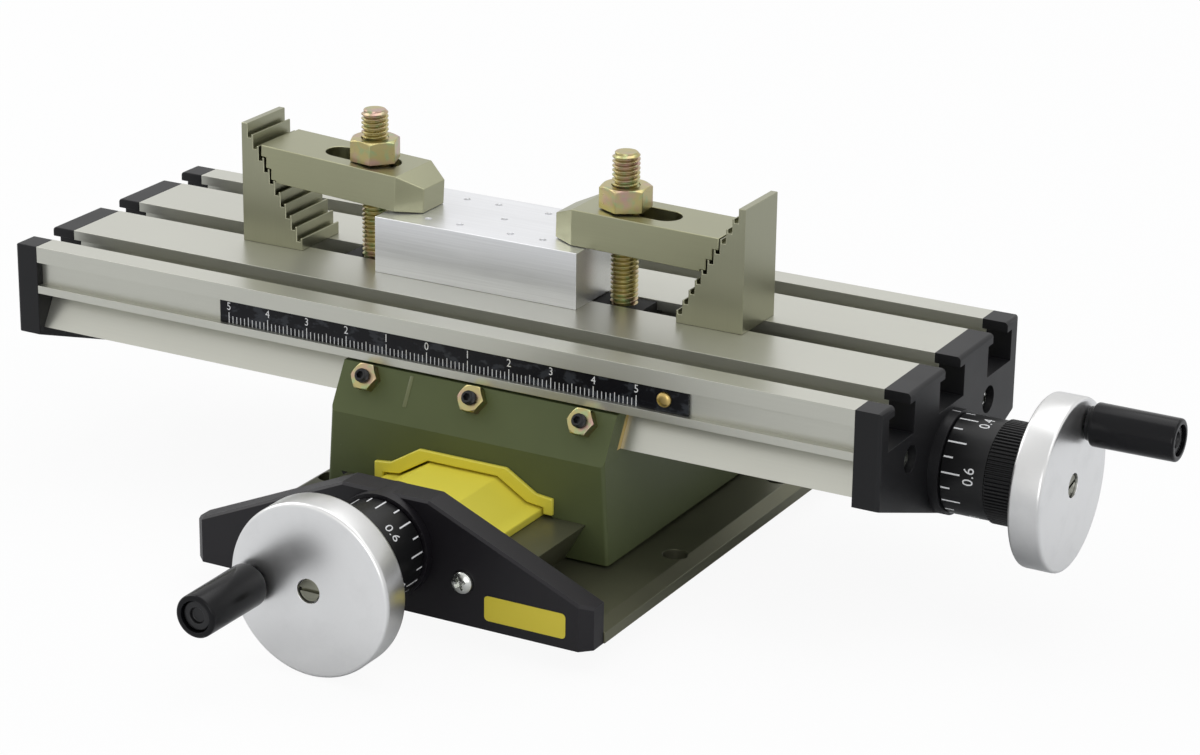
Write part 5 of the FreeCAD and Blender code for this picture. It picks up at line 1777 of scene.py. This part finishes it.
@dataclass
class Studio:
    """The camera, the soft lamps, the pale floor and the white surroundings."""

    camera_at: Point = (354.4, -632.5, 293.46)
    azimuth: float = 28.50
    elevation: float = 20.14
    roll: float = 0.82
    focal_px: float = 3557.2
    width_px: float = 1200.0
    sensor: float = 36.0
    floor: float = -4.6
    floor_half: float = 6.0
    floor_glow: float = 0.93
    sky: Colour = (0.92, 0.95, 1.0)
    sky_strength: float = 0.4
    lamps: tuple[SoftLamp, ...] = (
        SoftLamp("key_lamp", (-1.35, -0.1, 1.1), 1.2, 11.0),
        SoftLamp("fill_lamp", (0.5, -1.6, 0.35), 0.9, 4.2),
        SoftLamp("side_lamp", (1.2, -0.2, 1.3), 1.0, 3.0),
        SoftLamp("top_lamp", (0.1, 0.45, 1.4), 1.2, 7.0),
    )

    def build(self) -> None:
        """Build the studio."""
        bpy.context.scene.view_settings.view_transform = "Standard"
        self._camera()
        self._world()
        self._floor()
        for lamp in self.lamps:
            lamp.build()

    def _camera(self) -> None:
        """The camera, where the photograph's camera stood."""
        a, e, r = (math.radians(v) for v in (self.azimuth, self.elevation, self.roll))
        back = Vector((math.sin(a) * math.cos(e), -math.cos(a) * math.cos(e), math.sin(e)))
        level = (-back).cross(Vector((0, 0, 1))).normalized()
        above = level.cross(-back)
        right = math.cos(r) * level + math.sin(r) * above
        up = math.cos(r) * above - math.sin(r) * level
        lens = bpy.data.cameras.new("photo_camera")
        lens.sensor_fit = "HORIZONTAL"
        lens.sensor_width = self.sensor
        lens.lens = self.focal_px / self.width_px * self.sensor
        lens.clip_start = 0.01
        lens.clip_end = 20.0
        camera = bpy.data.objects.new("photo_camera", lens)
        turn = Matrix((right, up, back)).transposed().to_4x4()
        camera.matrix_world = Matrix.Translation(Vector(self.camera_at) * MM) @ turn
        bpy.context.scene.collection.objects.link(camera)
        bpy.context.scene.camera = camera

    def _world(self) -> None:
        """White to the camera and in reflections, and a plain level of light elsewhere."""
        world = bpy.data.worlds.new("studio_surroundings")
        world.use_nodes = True
        nodes = NodeTree(world.node_tree, "ShaderNodeOutputWorld")
        sky = {"Color": self.sky, "Strength": self.sky_strength}
        white = {"Color": (1.0, 1.0, 1.0), "Strength": 1.0}
        light = nodes.node("ShaderNodeBackground", None, sky)
        seen = nodes.node("ShaderNodeBackground", None, white)
        camera, glossy, clear = (
            nodes.node("ShaderNodeLightPath", output=f"Is {kind} Ray")
            for kind in ("Camera", "Glossy", "Transmission")
        )
        share = camera.maximum(glossy).maximum(clear)
        nodes.feed(nodes.surface, nodes.node("ShaderNodeMixShader", None, [share, light, seen]))
        bpy.context.scene.world = world

    def _floor(self) -> None:
        """A pale floor that keeps the part's shadow."""
        shape = bmesh.new()
        bmesh.ops.create_grid(shape, x_segments=1, y_segments=1, size=self.floor_half)
        bmesh.ops.translate(shape, vec=(0.0, 0.0, self.floor * MM), verts=shape.verts)
        mesh = bpy.data.meshes.new("pale_floor")
        shape.to_mesh(mesh)
        shape.free()
        painter = Painter("pale_floor")
        painter.set(Base_Color=(0.9, 0.9, 0.9), Roughness=0.9, Specular_IOR_Level=0.0)
        glow = painter.node("ShaderNodeEmission", None, {"Strength": 1.0})
        share = painter.node("ShaderNodeLightPath", output="Is Camera Ray") * self.floor_glow
        mixed = painter.node("ShaderNodeMixShader", None, [share, painter.shaded, glow])
        painter.feed(painter.surface, mixed)
        mesh.materials.append(painter.material)
        floor = bpy.data.objects.new("pale_floor", mesh)
        bpy.context.scene.collection.objects.link(floor)


def main() -> None:
    """Build the part's looks and the studio, and report each piece."""
    logging.basicConfig(level=logging.INFO, format="%(message)s")
    shop = Workshop()
    BaseUnit(shop).build()
    SaddleUnit(shop).build()
    TableUnit(shop).build()
    HandFeed(
        shop,
        Axis.X,
        outward=Matrix.Translation((94.2, 2.0, 25.96)),
        centre=(0.0, 2.0, 25.96),
        reading=0.374,
        grip_angle=-29.0,
        spindle_length=211.9,
        thread_end=-8.1,
        left_thread=False,
        slot_angle=12.0,
        dial_end=18.0,
        figure_place=6.2,
    ).build()
    HandFeed(
        shop,
        Axis.Y,
        outward=Matrix.Translation((0.0, -72.0, 13.8)) @ rotation(-90, "Z"),
        centre=(0.0, 0.0, 13.8),
        reading=0.73,
        grip_angle=94.0,
        spindle_length=130.0,
        thread_end=-8.3,
        left_thread=True,
        slot_angle=0.0,
        dial_end=19.0,
        figure_place=6.9,
    ).build()
    StepClamp(shop, Side.LEFT, -47.0).build()
    StepClamp(shop, Side.RIGHT, 15.5).build()
    HeldBlock(shop).build()
    Studio().build()
    log.info("%d pieces in all", shop.count)


if __name__ == "__main__":
    main()
